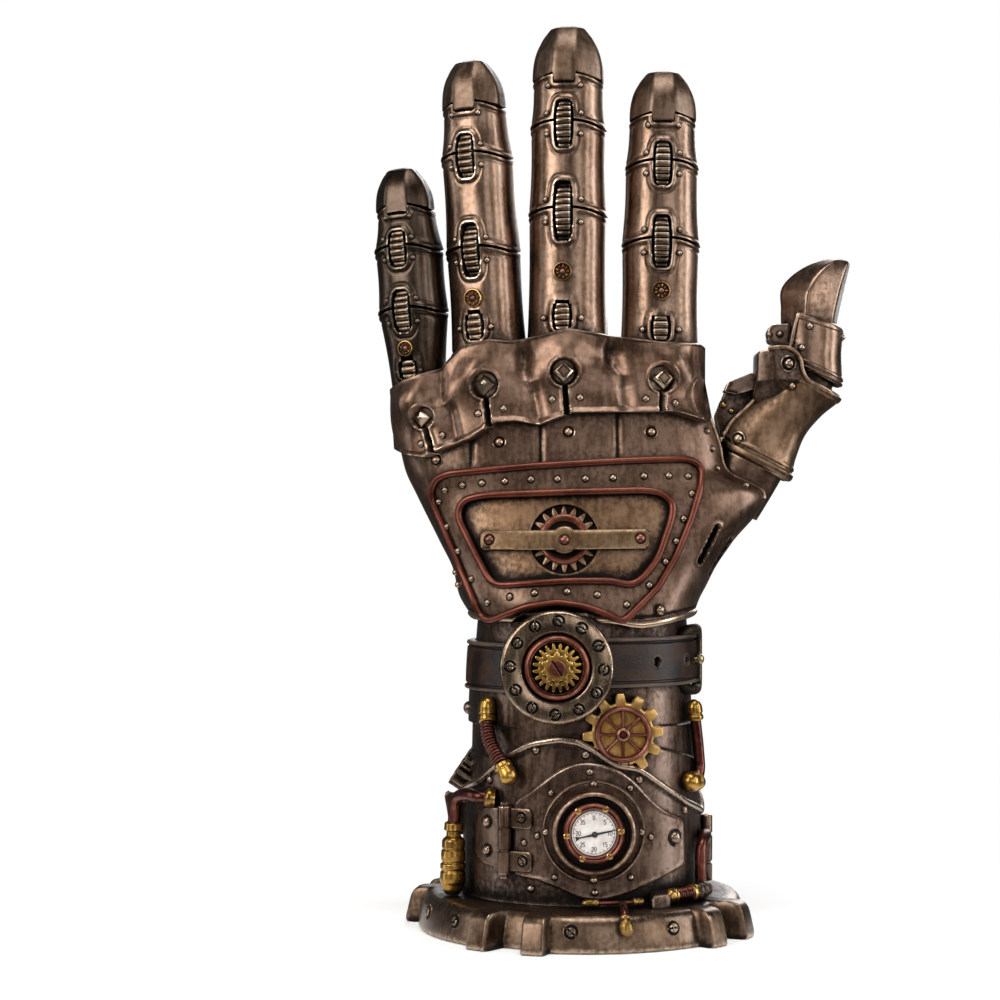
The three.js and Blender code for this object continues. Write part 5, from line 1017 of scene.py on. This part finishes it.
bar_share, bar_lift = np.array([(-1, 0.9), (-1, 2.5), (-0.97, 2.85), (-0.86, 3.1), (-0.4, 3.15), (0, 3.17),
                                (0.4, 3.15), (0.86, 3.1), (0.97, 2.85), (1, 2.5), (1, 0.9)]).T
bar_z = 108.3 + 0.012 * (bar_x - SHIELD_EYE[0]) + bar_share * bar_half
bar_spots, _ = hand_front(bar_x + 0 * bar_share, bar_z, bar_lift)
bar_coat = antique("bar_coat", "82694f", "cbb090", "150d08", 0.42)
put("window_bar", [skin(bar_spots)], bar_coat, "bronze", "shield_bar")
bar_spot, bar_face = hand_front(np.array([-25.9, -5.6, 14.9]), np.array([108.3, 108.3, 108.7]), 3.1)
put("bar_rivets", [studs(bar_spot, bar_face, dome(1.25, 0.9), 18)], copper, "copper")


# Knuckle guard: one plate draped over the four knuckles and scalloped below, with a keyhole at each
# knuckle that frames a diamond stud, rims rubbed bright, and a rivet at each side of each slit.
guard_coat = antique("guard_coat", "876c5b", "dcc4ae", "170e08", 0.38)
KEYHOLES = ((-44.2, 141.6, 3.2, (-40.2, 128)), (-27.3, 150.5, 3.9, (-25.8, 138)),
            (-5.5, 154, 3.9, (-4.6, 140)), (21.6, 152.3, 3.9, (20.9, 140)))
GUARD_EDGE = np.array([(-54, 134, 149), (-48.7, 131.3, 151.5), (-44.6, 130.6, 153), (-38, 133.6, 155.4),
                       (-32.5, 135.6, 161.3), (-25, 140.1, 163.1), (-19.7, 140.4, 162.6),
                       (-14.2, 139.3, 163.6), (-4.4, 142.7, 166.1), (8.8, 142.8, 163.8),
                       (20.9, 143.1, 162.4), (31, 140, 162.3), (36, 145, 160)])
guard_u = np.linspace(-0.9898, 0.9853, 330)
guard_turn = np.sign(guard_u) * np.arcsin(np.abs(guard_u) ** 1.5)
guard_x = on_hand(guard_turn, 150.0, 0.0)[:, 0]
guard_low, guard_high = (soften(np.interp(guard_x, GUARD_EDGE[:, 0], GUARD_EDGE[:, row]), 4, "edge")
                         for row in (1, 2))
guard_level = np.concatenate([[0, 0.006, 0.014, 0.026], np.linspace(0.04, 0.96, 86),
                              [0.974, 0.986, 0.994, 1]])[:, None]
guard_z = guard_low + guard_level * (guard_high - guard_low)
guard_wrap = guard_turn * (1 - 0.14 * step(guard_turn, 0.7, 1.3) * (1 - step(guard_level, 0, 0.8)))
from_ends = np.minimum(guard_turn + np.radians(80), np.radians(78) - guard_turn)
inward = np.clip(np.degrees(from_ends) / 26, 0, 1)
knolls = sum(np.exp(-((guard_x - hole[0]) / 6.5) ** 2) for hole in KEYHOLES)
hill = np.exp(-((guard_level - 0.7) / 0.24) ** 2)
dip = np.exp(-((guard_level - 0.76) / 0.17) ** 2)
drift = 1.3 * np.tanh((guard_level - 0.52) / 0.1)
creases = sum(np.exp(-((guard_x + drift - middle) / 2.1) ** 2) for middle in (-37.6, -15.4, 8.8))
crease_deep = np.interp(guard_level, [0, 0.1, 0.36, 0.5, 0.64, 0.82, 1],
                        [0.9, 1.4, 1.5, 0.9, 2.3, 2.2, 1.1])
flare = 0.6 * (1 - step(guard_level, 0, 0.3))
valleys = 1.2 * (1 - np.minimum(knolls, 1)) * dip
guard_lift = 1.5 + inward * (1.1 + 2.8 * knolls * hill - valleys + flare - crease_deep * creases)
lobe = np.hypot((guard_x - 30.8) / 5.2, (guard_z - 146.0) / 7.5)
guard_lift = guard_lift + 0.7 * inward * (1 - step(lobe, 0.86, 1.0))
edge = np.minimum(guard_z - guard_low, guard_high - guard_z)
across = on_hand(guard_wrap, guard_z, guard_lift)[..., 0]
dish_off = np.min([np.hypot(across - x, guard_z - z) - reach for x, z, reach, _ in KEYHOLES], axis=0)
slit_off = np.min([from_line(across, guard_z, (x, z), foot) - 0.85 for x, z, _, foot in KEYHOLES], axis=0)
hole_off = np.minimum(dish_off, slit_off)
guard_lift = guard_lift + 0.24 * (1 - step(np.minimum(edge, hole_off), 0.45, 0.95))
guard_lift = guard_lift + 0.35 * (1 - step(guard_z - guard_low, 0.9, 1.7))
guard_lift = guard_lift - 0.7 * (1 - step(edge, 0, 0.42)) ** 2
floor_lift = 0.3 + np.maximum(guard_lift - 2.0, 0) * (1 - step(dish_off, -0.4, 0.3))
guard_lift = guard_lift + (floor_lift - guard_lift) * (1 - step(hole_off, -0.5, 0.0))
guard_face = on_hand(guard_wrap, guard_z, guard_lift)
guard_back = on_hand(guard_wrap[[-1, 0]], guard_z[[-1, 0]], -2.4)
# Positive tone lifts the dish floors out of the painted occlusion shade and rubs them pale.
guard_tone = 0.35 * (1 - step(dish_off, -0.9, -0.4))
guard_rings = np.swapaxes(np.concatenate([guard_face, guard_back]), 0, 1)
guard_shell = *skin(guard_rings), np.pad(np.pad(guard_tone, ((0, 2), (0, 0))).T.ravel(), (0, 2))


def nearest_on(surface, spots):
    """Points on the front of a grid that are nearest to places in the front view."""
    flat = surface.reshape(-1, 1, 3)
    off = (flat[..., 0] - spots[:, 0]) ** 2 + (flat[..., 2] - spots[:, 1]) ** 2 + 99 * (flat[..., 1] > 2)
    return flat[np.argmin(off, axis=0), 0]


slit_rivets = np.array([(-38.8, 136.5), (-44.6, 134.3), (-29.0, 142.4), (-21.9, 143.8), (-8.8, 146.3),
                        (-1.1, 146.8), (16.9, 146.6), (24.9, 145.5)])
_, slit_face = hand_front(slit_rivets[:, 0], slit_rivets[:, 1], 0)
slit_studs = studs(nearest_on(guard_face, slit_rivets), slit_face, dome(0.95, 0.9))
put("guard_plate", [guard_shell, slit_studs], guard_coat, "bronze", "knuckle_guard")
# Third column is tone: it keeps the painted occlusion shade off the studs in their dishes and rubs them
# pale; the table's top is a little darker.
PYRAMID = np.array([(1, -1.6, 0), (1, 0.5, 0), (0.93, 0.7, 0.4), (0.6, 1.4, 0.4), (0.3, 1.9, 0.4),
                    (0.12, 2.2, 0.4)])
TABLE = np.array([(1, -1.6, 0), (1, 0.5, 0), (0.93, 0.7, 0.3), (0.66, 1.65, 0.3), (0.6, 1.7, 0.3),
                  (0.52, 1.5, -0.3), (0.2, 1.5, -0.1)])
holes = np.array([hole[:3] for hole in KEYHOLES])
_, hole_face = hand_front(holes[:, 0], holes[:, 1], 0)
cuts = zip(nearest_on(guard_face, holes), hole_face, holes[:, 2], (PYRAMID, PYRAMID, TABLE, TABLE))
diamonds = [studs([spot], [face], rows * (0.84 * reach, 1, 1), 4) for spot, face, reach, rows in cuts]
put("knuckle_diamonds", diamonds, polished, "bronze")


# Fingers: four rows of bronze lames, each finger a proximal, middle and distal segment under a faceted
# thimble tip, with a ribbed joint wheel in a lipped slot at every line and a small medallion below.
FINGERS = (
    ("index", (21.6, 158.4, 0.8, -2), (0, 32, 53.6, 66.8, 80.2), (11, 10.8, 10.1, 9.2),
     (8.0, 3.6, 7.4, 6.2), (18.3, 2.5)),
    ("middle", (-4, 158.4, 0.3, -10), (0, 40.4, 64.5, 77.7, 92.7), (11.4, 10.8, 10.4, 9.8),
     (11.2, 4.0, 8.4, 6.8), (23.6, 2.5)),
    ("ring", (-25.8, 159, -3.4, -22), (0, 29.4, 55.5, 69.8, 82.8), (10.2, 9.9, 9.7, 8.5),
     (8.2, 3.8, 7.5, 6.2), (16.0, 2.5)),
    ("pinky", (-45.3, 147.4, -4.2, -20), (0, 24.2, 41.5, 52.9, 64.4), (7.2, 9.3, 9.1, 7.7),
     (8.0, 2.8, 5.9, 5.1), (13.8, 2.1)),
)
FINGER_SQUARE = 2.4
near_x = np.linspace(-7, 7, 51) / 10.5
near_turn = np.sign(near_x) * np.arcsin(np.abs(near_x) ** 1.2)
finger_turn = np.concatenate([near_turn, np.linspace(near_turn[-1], 2 * np.pi - near_turn[-1], 46)[1:-1]])
finger_bow = 1.1 * np.cos(2 * finger_turn)
dorsal = np.cos(finger_turn) > 0


def posed(points, seat):
    """Local points of a finger turned about its length, leaned sideways and moved to its seat."""
    x, z, lean, turn = seat
    lean, turn = np.radians(lean), np.radians(turn)
    across = points[..., 0] * np.cos(turn) - points[..., 1] * np.sin(turn)
    depth = points[..., 0] * np.sin(turn) + points[..., 1] * np.cos(turn)
    along = points[..., 2]
    return points_of(x + across * np.cos(lean) + along * np.sin(lean), depth,
                     z - across * np.sin(lean) + along * np.cos(lean))


def box_off(x, z, half_wide, half_high, ease):
    """Signed distance from an oblong with eased corners, negative inside."""
    over_x, over_z = np.abs(x) - half_wide + ease, np.abs(z) - half_high + ease
    outside = np.hypot(np.maximum(over_x, 0), np.maximum(over_z, 0))
    return outside + np.minimum(np.maximum(over_x, over_z), 0) - ease


def lame(low, high, widths, slots, flat_foot, tabbed):
    """Finger segment: a rounded square section that tapers from one width to the next, with bowed ends.
    A lip 1 mm wide stands up beside the ends, the wheel slots and the notch for the tip's tab; the ends
    are rounded over, and the slots sink 4 mm."""
    tall = high - low
    zone = min(10.0, 0.46 * tall)
    foot = np.concatenate([[0, 0.08, 0.18, 0.3], np.arange(0.5, zone, 0.32)])
    shaft = np.linspace(zone, tall - zone, max(4, int(tall - 2 * zone)))
    rise = np.unique(np.concatenate([foot, shaft, tall - foot]))
    start = low + finger_bow * (0 if flat_foot else 1) + 0.15
    end = high + finger_bow - 0.15
    z = start + (rise[:, None] / tall) * (end - start)
    half = np.interp(z, [low + 0.8, high - 0.8], widths) - 0.35 * np.sin(np.pi * rise[:, None] / tall)
    power = 2 / FINGER_SQUARE
    sine, cosine = np.sin(finger_turn), np.cos(finger_turn)
    x = half * np.sign(sine) * np.abs(sine) ** power
    y = -half * np.sign(cosine) * np.abs(cosine) ** power
    normal = np.stack([np.sign(way) * np.abs(way) ** (FINGER_SQUARE - 1) for way in (x, y)], axis=-1)
    normal /= np.linalg.norm(normal, axis=-1, keepdims=True)
    end_off = np.minimum(z - start, end - z)
    slot_off = np.full(z.shape, 9.0)
    for middle, length in slots:
        slot_half = 2.7 - 0.7 * np.clip(np.abs(z - middle) / length, 0, 1) ** 3
        this_off = box_off(x, z - middle, slot_half, length, 1.1)
        slot_off = np.minimum(slot_off, np.where(dorsal, this_off, 9.0))
    tab_off = np.where(dorsal, box_off(x, z - high - 2.3, 3.1, 4.2, 0.7), 9.0) if tabbed else slot_off + 9
    joined = -0.55 * np.log(np.exp(-end_off / 0.55) + np.exp(-np.maximum(slot_off, 0) / 0.55))
    off = np.minimum(joined + 0.1, np.maximum(tab_off, 0))
    proud = 0.3 + 0.7 * step(cosine, -0.1, 0.5)
    lip = proud * (0.3 * (1 - step(off, 0.8, 1.4)) - 0.2 * np.exp(-((off - 1.7) / 0.36) ** 2))
    lip = lip - 1.1 * (1 - step(end_off, 0, 0.4)) ** 2 - 1.3 * (1 - step(tab_off, -0.3, 0.02))
    x = x + lip * normal[..., 0]
    y = y + lip * normal[..., 1] + 4.2 * (1 - step(slot_off, -0.4, 0.02))
    return points_of(x, y, z)


def thimble(cap, top, half):
    """Fingertip: a faceted cap whose rim radius at each angle is a rounded polygon, the p-norm of its
    facets' distances; the front facet keeps its width, a tab hangs from it, and all close in at the top."""
    spin = finger_turn
    share = np.concatenate([[0, 0.006, 0.015, 0.03], np.linspace(0.05, 0.9, 44),
                            np.linspace(0.915, 1, 10)])[:, None]
    across = half * np.sin(spin)
    tab = 2.5 * (1 - step(np.abs(across), 2.75, 3.15)) * dorsal
    start = cap + 0.15 + finger_bow - tab
    z = start + share * (top - start)
    high = np.clip((z - cap) / (top - cap), 0, 1)
    close = 0.985 * (1 - 0.61 * high ** 2.5)
    front = 0.985 * half * (1 - 0.54 * high ** 2.9)
    wide = np.interp(high, [0, 1], [3.7, 2.6])
    lean = np.radians(42)
    slant = front * np.cos(lean) + wide * np.sin(lean)
    facets = [(0, front), (lean, slant), (-lean, slant)]
    facets += [(turn, half * close) for turn in (1.65, -1.65, 2.4, -2.4, np.pi)]
    total = sum((np.maximum(np.cos(spin - turn), 1e-6) / apothem) ** 26 for turn, apothem in facets)
    radius = total ** (-1 / 26) * (1 - 0.34 * step(high, 0.93, 1.0) ** 2)
    radius = radius - 0.9 * (1 - step(z - start, 0, 0.4)) ** 2
    return points_of(radius * np.sin(spin), -radius * np.cos(spin), z)


def joint_wheel(middle, radius, length):
    """Ribbed wheel in a slot: an arc about the finger's middle line whose radius rises to a round rib
    every 2 mm, carried across a section with eased shoulders."""
    rim = radius + 0.35
    reach = np.arcsin((length - 0.45) / rim)
    ribs = max(2, round(2 * reach * rim / 1.95))
    arc = np.linspace(-reach, reach, ribs * 10 + 1)[:, None]
    crown = rim - 0.75 + 0.75 * np.abs(np.cos(np.pi * ribs * (arc / (2 * reach) + 0.5))) ** 0.45
    x = np.array([-2.1, -2.1, -1.95, -1.4, 0, 1.4, 1.95, 2.1, 2.1]) * (1 - 0.26 * np.abs(arc / reach) ** 3)
    sink = np.array([-3.2, -0.6, -0.15, 0, 0.03, 0, -0.15, -0.6, -3.2])
    out = crown + sink
    return points_of(x, -out * np.cos(arc), middle + out * np.sin(arc))


def medallion(height, out, radius):
    """Small boss: a raised rim, nine rays between two and four fifths of the radius, and a sunk floor."""
    share = np.array([1.05, 1.05, 1.0, 0.93, 0.86, 0.8, 0.72, 0.6, 0.46, 0.4, 0.2])[:, None]
    spin = full_turn(90)
    rays = np.clip(np.cos(9 * spin), 0, 1) ** 0.6 * step(share, 0.36, 0.46) * (1 - step(share, 0.74, 0.82))
    floor = np.array([-1.2, 0.15, 0.4, 0.42, 0.15, 0.02, 0.02, 0.02, 0.02, 0.02, 0.02])[:, None]
    lift = floor + 0.38 * rays
    return points_of(radius * share * np.cos(spin), -out - lift, height + radius * share * np.sin(spin))


badge = antique("badge", "6b4a33", "e2ac66", "160d08", 0.36)
shaded = antique("shaded_bronze", "524439", "a08c79", "120b07", 0.32)
tip_coat = antique("tip_coat", "7c6757", "d6bea4", "170e08", 0.4)
rib_coat = antique("rib_coat", "8f7b69", "e2d2bf", "140c07", 0.34)
medallions, hearts = [], []
for name, seat, lines, widths, wheels, (badge_z, badge_r) in FINGERS:
    foot, low, mid, cap, top = lines
    seat_z, seat_half, low_half, high_half = wheels
    seat_slot, low_slot, high_slot = (seat_z, seat_half), (low, low_half), (mid, high_half)
    segments = (
        ("proximal", lame(foot, low, (widths[0], widths[1]), (low_slot, seat_slot), True, False)),
        ("middle", lame(low, mid, (widths[1] + 0.15, widths[2]), (low_slot, high_slot), False, False)),
        ("distal", lame(mid, cap, (widths[2] + 0.15, widths[3]), (high_slot,), False, True)),
        ("tip", thimble(cap, top, widths[3])),
    )
    rivet_rows = {"proximal": [(seat_z - 0.4, widths[0]), (low - 3.2, widths[1])],
                  "middle": [(low + 3.2, widths[1]), (mid - 2.9, widths[2])],
                  "distal": [(mid + 2.9, widths[2]), (cap - 2.6, widths[3])], "tip": []}
    for part, grid in segments:
        # Painted shade: the tip's narrow sides darkened, and the proximal lame a little darker all over and
        # darker towards its foot under the guard.
        tip_side_shade = -0.4 * step(np.abs(np.sin(finger_turn)), 0.86, 0.99) * (part == "tip")
        foot_shade = (-0.06 - 0.24 * (1 - step(grid[..., 2], foot + 4, foot + 18))) * (part == "proximal")
        shells = [(*skin(posed(grid, seat)), np.pad((tip_side_shade + foot_shade).ravel(), (0, 2)))]
        for rivet_z, half in rivet_rows[part]:
            rivet_x = np.array([-4.9, 4.9]) * half / 10.6
            share = np.abs(rivet_x / half)
            front = (1 - share ** FINGER_SQUARE) ** (1 / FINGER_SQUARE)
            spot = points_of(rivet_x, -half * front - 0.02, rivet_z)
            face = points_of(np.sign(rivet_x) * share ** (FINGER_SQUARE - 1),
                             -front ** (FINGER_SQUARE - 1), 0)
            shells.append(studs(posed(spot, seat), posed(face, (0, 0, seat[2], seat[3])), dome(0.66, 0.62)))
        finish = shaded if name == "pinky" else tip_coat if part == "tip" else bronze
        put(f"{name}_{part}_lame", shells, finish, "bronze", f"{name}_{part}")
    for part, middle, radius, length in (("low", low, widths[1], low_half),
                                         ("high", mid, widths[2], high_half)):
        ribs = skin(posed(joint_wheel(middle, radius, length), seat))
        put(f"{name}_{part}_ribs", [ribs], rib_coat, "plate", f"{name}_wheel_{part}")
    seat_ribs = skin(posed(joint_wheel(seat_z, widths[0], seat_half), seat))
    put(f"{name}_seat_ribs", [seat_ribs], rib_coat, "plate")
    badge_half = np.interp(badge_z, [foot, low], widths[:2])
    medallions.append(skin(posed(medallion(badge_z, badge_half, badge_r), seat)))
    heart_face = posed(np.array([[0.0, -1.0, 0.0]]), (0, 0, seat[2], seat[3]))
    heart_spot = posed(np.array([[0.0, -badge_half - 0.02, badge_z]]), seat)
    hearts.append(studs(heart_spot, heart_face, dome(0.75, 0.55), 12))
put("medallions", medallions, badge, "bronze")
put("medallion_hearts", hearts, copper, "copper")


# Thumb: a socket at the hand's edge, a waisted sleeve, a ring with turned rims, and a claw-like tip, all
# bronze. On the inner side a dark riveted link grows out of the sleeve, and a lame bridges to the hand,
# where two brass studs show.
THUMB_SQUARE = 2.3
thumb_spin = full_turn(120)


def thumb_grid(rows, count, lips=()):
    """Loft of rounded oblongs: rows of centre, half width, half depth, tilt and extra width on the inner
    side are smoothed into a curve; lips are raised bands, each a share of the way, half width and height."""
    rows = np.array(rows, float)
    table = bend(np.pad(rows, ((0, 0), (0, 6 - rows.shape[1]))), count)
    x, z, half, deep, lean, inner = table.T[:, :, None]
    share = np.linspace(0, 1, count)[:, None]
    lift = sum(height * (1 - step(np.abs(share - at), 0.6 * wide, wide)) for at, wide, height in lips)
    power = 2 / THUMB_SQUARE
    sine, cosine = np.sin(thumb_spin), np.cos(thumb_spin)
    half = half + np.where(sine < 0, inner, 0)
    across = (half + lift) * np.sign(sine) * np.abs(sine) ** power
    depth = -(deep + lift) * np.sign(cosine) * np.abs(cosine) ** power
    lean = np.radians(lean)
    return points_of(x + across * np.cos(lean), depth + 2, z - across * np.sin(lean))


SOCKET = [(42.6, 117, 7.4, 7.4, 30, 2), (44.6, 120.6, 7.6, 7.6, 30, 2.6), (48.4, 127.8, 8, 8, 27, 3.2),
          (49, 129, 8, 8, 27, 3.2)]
SLEEVE = [(48.7, 128.4, 9.2, 9.0, 27, 1.8), (49.3, 129.3, 10, 9.8, 27, 2.0), (52, 134.8, 9.0, 9.0, 27, 3.4),
          (55.2, 140.8, 8.3, 8.6, 27, 1.9), (59.4, 146.4, 8.7, 8.8, 26.5, 0.5),
          (63.7, 151.2, 9.7, 9.4, 26, 0), (64.2, 151.9, 9.2, 8.9, 26, 0)]
KNUCKLE = [(62, 147.5, 7, 6.8, 26), (63.6, 153, 7.2, 7, 25), (64.2, 158, 7.2, 7, 24), (64.2, 160, 7, 7, 22)]
RING_ROWS = [(64.3, 154.2, 8.7, 8.6, 25), (64.3, 155.2, 9.4, 9.2, 24), (64.2, 162.5, 9.2, 9.0, 20),
             (64, 169.4, 9.4, 8.9, 17), (63.9, 170, 8.9, 8.4, 17)]
CLAW = [(63.6, 161.5, 7.4, 7.0, 18), (63.4, 166.5, 7.8, 7.4, 17), (63.7, 170.3, 8.1, 7.7, 16),
        (64.4, 176, 8.6, 7.8, 12), (66.3, 180.3, 7.7, 6.6, 9), (69.1, 183.9, 5.8, 4.8, 8),
        (71.9, 186, 3.4, 2.6, 8), (72.9, 186.5, 1.6, 1.2, 8)]
sleeve = thumb_grid(SLEEVE, 110, ((0.06, 0.05, 0.6), (0.15, 0.02, 0.3), (0.95, 0.035, 0.3)))
collar = thumb_grid(RING_ROWS, 90, ((0.06, 0.04, 0.3), (0.16, 0.035, 0.25), (0.92, 0.05, 0.3)))
open_side = 1 - 0.62 * step(-np.sin(thumb_spin), 0.46, 0.56)
row_at = np.arange(90)[:, None] * open_side
row_low = np.floor(row_at).astype(int)[..., None]
row_share = row_at[..., None] - row_low
collar_below = np.take_along_axis(collar, row_low, 0)
collar_above = np.take_along_axis(collar, np.minimum(row_low + 1, 89), 0)
collar = (1 - row_share) * collar_below + row_share * collar_above
put("thumb_root", [skin(thumb_grid(SOCKET, 30)), skin(thumb_grid(KNUCKLE, 24))], plate_coat, "plate",
    "thumb_socket")
sleeve_coat = antique("sleeve_coat", "957860", "dcc0a2", "170e08", 0.4)
lip_path = bend([(71.9, -0.2, 147.6), (69.4, -5.2, 148.8), (66.0, -7.5, 150.4), (62.2, -8.1, 152.4),
                 (60.8, -8.1, 155), (60.2, -8.1, 158), (58.2, -8.0, 160.6), (55.0, -7.8, 161.4),
                 (51.2, -7.6, 161.0)], 120)
notch_path = sleeve[8:84, 96]
# Painted shade: the sleeve's inner side, towards the hand, is darker.
sleeve_side_shade = np.pad(np.tile(-0.3 * step(-np.sin(thumb_spin), -0.1, 0.8), 110), (0, 2))
sleeve_beads = [sweep(lip_path, 0.55, 10, TO_VIEWER), sweep(notch_path, 0.75, 10, TO_VIEWER)]
root_spot = nearest_on(sleeve, np.array([(42.9, 136.0)]))
sleeve_studs = [studs(root_spot, [(-0.45, -1, 0)], np.array(RINGED) * (1.1, 1.0, 1.0), 20),
                studs([(58.0, -6.95, 150.6)], [(-0.2, -1, 0.1)], dome(0.9, 0.8))]
put("thumb_cuff", [(*skin(sleeve), sleeve_side_shade), *sleeve_beads, *sleeve_studs], sleeve_coat, "bronze",
    "thumb_sleeve")
collar_spot = nearest_on(collar, np.array([(62.6, 167.2), (60.9, 161.2), (72.6, 164.5)]))
collar_studs = studs(collar_spot, [(-0.1, -1, 0.1), (-0.25, -1, 0), (0.9, -0.4, 0)], dome(0.9, 0.85))
seam_path = bend([(59.6, -6.4, 170.4), (58.6, -6.4, 166.4), (57.6, -5.8, 161.2)], 40)
seam = sweep(seam_path, 0.5, 10, TO_VIEWER)
put("thumb_collar", [skin(collar), seam, collar_studs], bronze, "bronze", "thumb_ring")
claw_table = bend(CLAW, 100)
claw_spin = full_turn(132)
facet_turn = np.radians([20, 75, 135, -165, -105, -44])
facet_share = np.maximum(np.cos(claw_spin[:, None] - facet_turn), 1e-6)
claw_reach = 0.985 * (facet_share ** 24).sum(axis=1) ** (-1 / 24)
claw_x, claw_z, claw_half, claw_deep, claw_lean = claw_table.T[:, :, None]
claw_lean = np.radians(claw_lean)
claw_across = claw_half * claw_reach * np.sin(claw_spin) * 0.96
claw_depth = 2 - claw_deep * claw_reach * np.cos(claw_spin)
claw_rings = points_of(claw_x + claw_across * np.cos(claw_lean), claw_depth,
                       claw_z - claw_across * np.sin(claw_lean))
claw_points, claw_faces = skin(claw_rings)
put("thumb_claw", [(claw_points, claw_faces, 0 * claw_points[:, 0] - 0.14)], bronze, "bronze", "thumb_tip")

link_points, link_faces = slab([(48.4, 153, 1.2), (47.2, 147.6, 1.4), (52, 143.2, 1), (60.4, 146.6, 1),
                                (61.6, 157.4, 3), (58.8, 161.4, 3), (48.6, 160.4, 1.2)], -6, 7.4)
link_lean = 0.5 * np.maximum(152 - link_points[:, 2], 0) + 0.3 * np.maximum(53 - link_points[:, 0], 0)
link_points[:, 1] += link_lean * (link_points[:, 1] < 0)
link = link_points, link_faces, 0 * link_lean - 0.26
bridge = slab([(37.2, 142.6, 1), (38.4, 136.4, 1), (41, 133.6, 1), (58, 152, 1), (50, 154.4, 1),
               (40.8, 151, 1.4)], -5, -0.4)
band = slab([(39.4, 149.2, 0.5), (40.6, 151.8, 0.6), (47.4, 154.6, 0.6), (50.6, 153, 0.8), (48.4, 150, 0.6),
             (43, 148.4, 0.6)], -3, 3.2)
lug = slab([(51.7, 162.4, 2), (58, 162.2, 1.2), (58, 168.2, 1.2), (51.7, 168, 2.4)], -3, 3.2)
link_rivet = studs([(57.0, -7.4, 156.8)], TO_VIEWER, np.array(RINGED) * (1.2, 1.0, 1.0), 24)
lug_rivets = studs([(52.1, -2.8, 165.0), (55.0, -3.2, 165.2)], [(-0.5, -1, 0), (0, -1, 0)], dome(0.85, 0.9))
put("thumb_bridge", [link, bridge, band, lug, link_rivet, lug_rivets], cuff_coat, "plate", "thumb_link")
fitting = studs([(39.6, 0.5, 145.6), (41.8, 0.5, 144.0)], TO_VIEWER, dome(1.0, 1.0))
put("thumb_fitting", [fitting], brass, "brass")


# Studio: a pale floor, soft strip lights at both sides that draw the long highlights, a dim room, and the
# camera level with the middle of the hand.
def floor_finish():
    """Pale matt paper with a faint mottling."""
    material, shader, start, place = bare_material("pale_floor")
    start.noise(place, 6.0).blend(tint("f6f5f4"), tint("fbfbfa")).feed(shader, "Base Color")
    reach = start.node("ShaderNodeVectorMath", {"operation": "LENGTH"}, {0: place}, 1)
    (1 - reach.span(0.06, 0.19)).feed(shader, "Alpha")
    shader.inputs["Roughness"].default_value = 0.9
    shader.inputs["Emission Color"].default_value = (1.0, 1.0, 1.0, 1.0)
    shader.inputs["Emission Strength"].default_value = 0.3
    return material


floor_mesh = bpy.data.meshes.new("floor")
floor_mesh.from_pydata([(-0.2, -0.2, 0), (0.2, -0.2, 0), (0.2, 0.2, 0), (-0.2, 0.2, 0)], [], [(0, 1, 2, 3)])
floor_mesh.materials.append(floor_finish())
floor = bpy.data.objects.new("floor", floor_mesh)
bpy.context.scene.collection.objects.link(floor)


def soft_light(name, spot, aim, size, power, colour=(1.0, 1.0, 1.0)):
    """Oblong area light at a spot, turned towards an aim."""
    lamp = bpy.data.lights.new(name, "AREA")
    lamp.shape = "RECTANGLE"
    lamp.size, lamp.size_y = size
    lamp.energy = power
    lamp.color = colour
    holder = bpy.data.objects.new(name, lamp)
    holder.location = spot
    ahead = np.subtract(aim, spot)
    tip = np.arctan2(np.hypot(ahead[0], ahead[1]), -ahead[2])
    turn = np.arctan2(ahead[1], ahead[0]) - np.pi / 2
    holder.rotation_euler = (tip, 0, turn)
    bpy.context.scene.collection.objects.link(holder)


WARM, COOL = (1.0, 0.97, 0.93), (0.92, 0.96, 1.0)
soft_light("key_left", (-0.65, -0.72, 0.5), (0, 0, 0.13), (0.4, 0.7), 5.8, WARM)
soft_light("strip_right", (0.95, -0.18, 0.3), (0, 0, 0.13), (0.24, 0.9), 5.0, COOL)
soft_light("kick_right", (0.74, -0.62, 0.32), (0.03, 0, 0.15), (0.14, 0.5), 1.5, WARM)
soft_light("strip_left", (-0.95, -0.1, 0.25), (0, 0, 0.13), (0.16, 0.9), 1.8, COOL)
soft_light("top_box", (0.05, -0.35, 1.05), (0, 0, 0.1), (0.6, 0.5), 5.0)
soft_light("front_fill", (0.35, -1.3, 0.35), (0, 0, 0.12), (0.5, 0.6), 2.2)
soft_light("back_fill", (0.25, 1.1, 0.6), (0, 0, 0.12), (0.8, 0.9), 7.0)

world = bpy.data.worlds.new("studio")
world.use_nodes = True
bpy.context.scene.world = world
ground = world.node_tree.nodes["Background"]
room = Wire(ground.outputs[0])
seen = room.node("ShaderNodeLightPath", {}, {}, "Is Camera Ray")
seen.blend((0.07, 0.068, 0.066, 1.0), (1.0, 1.0, 1.0, 1.0)).feed(ground, "Color")

lens = bpy.data.cameras.new("camera")
lens.lens = 87.84
lens.sensor_width = 36.0
lens.clip_start = 0.05
camera = bpy.data.objects.new("camera", lens)
camera.location = (-0.02296, -0.6832, 0.119)
camera.rotation_euler = (np.pi / 2, 0, 0)
bpy.context.scene.collection.objects.link(camera)
bpy.context.scene.camera = camera
bpy.context.scene.view_settings.view_transform = "Standard"
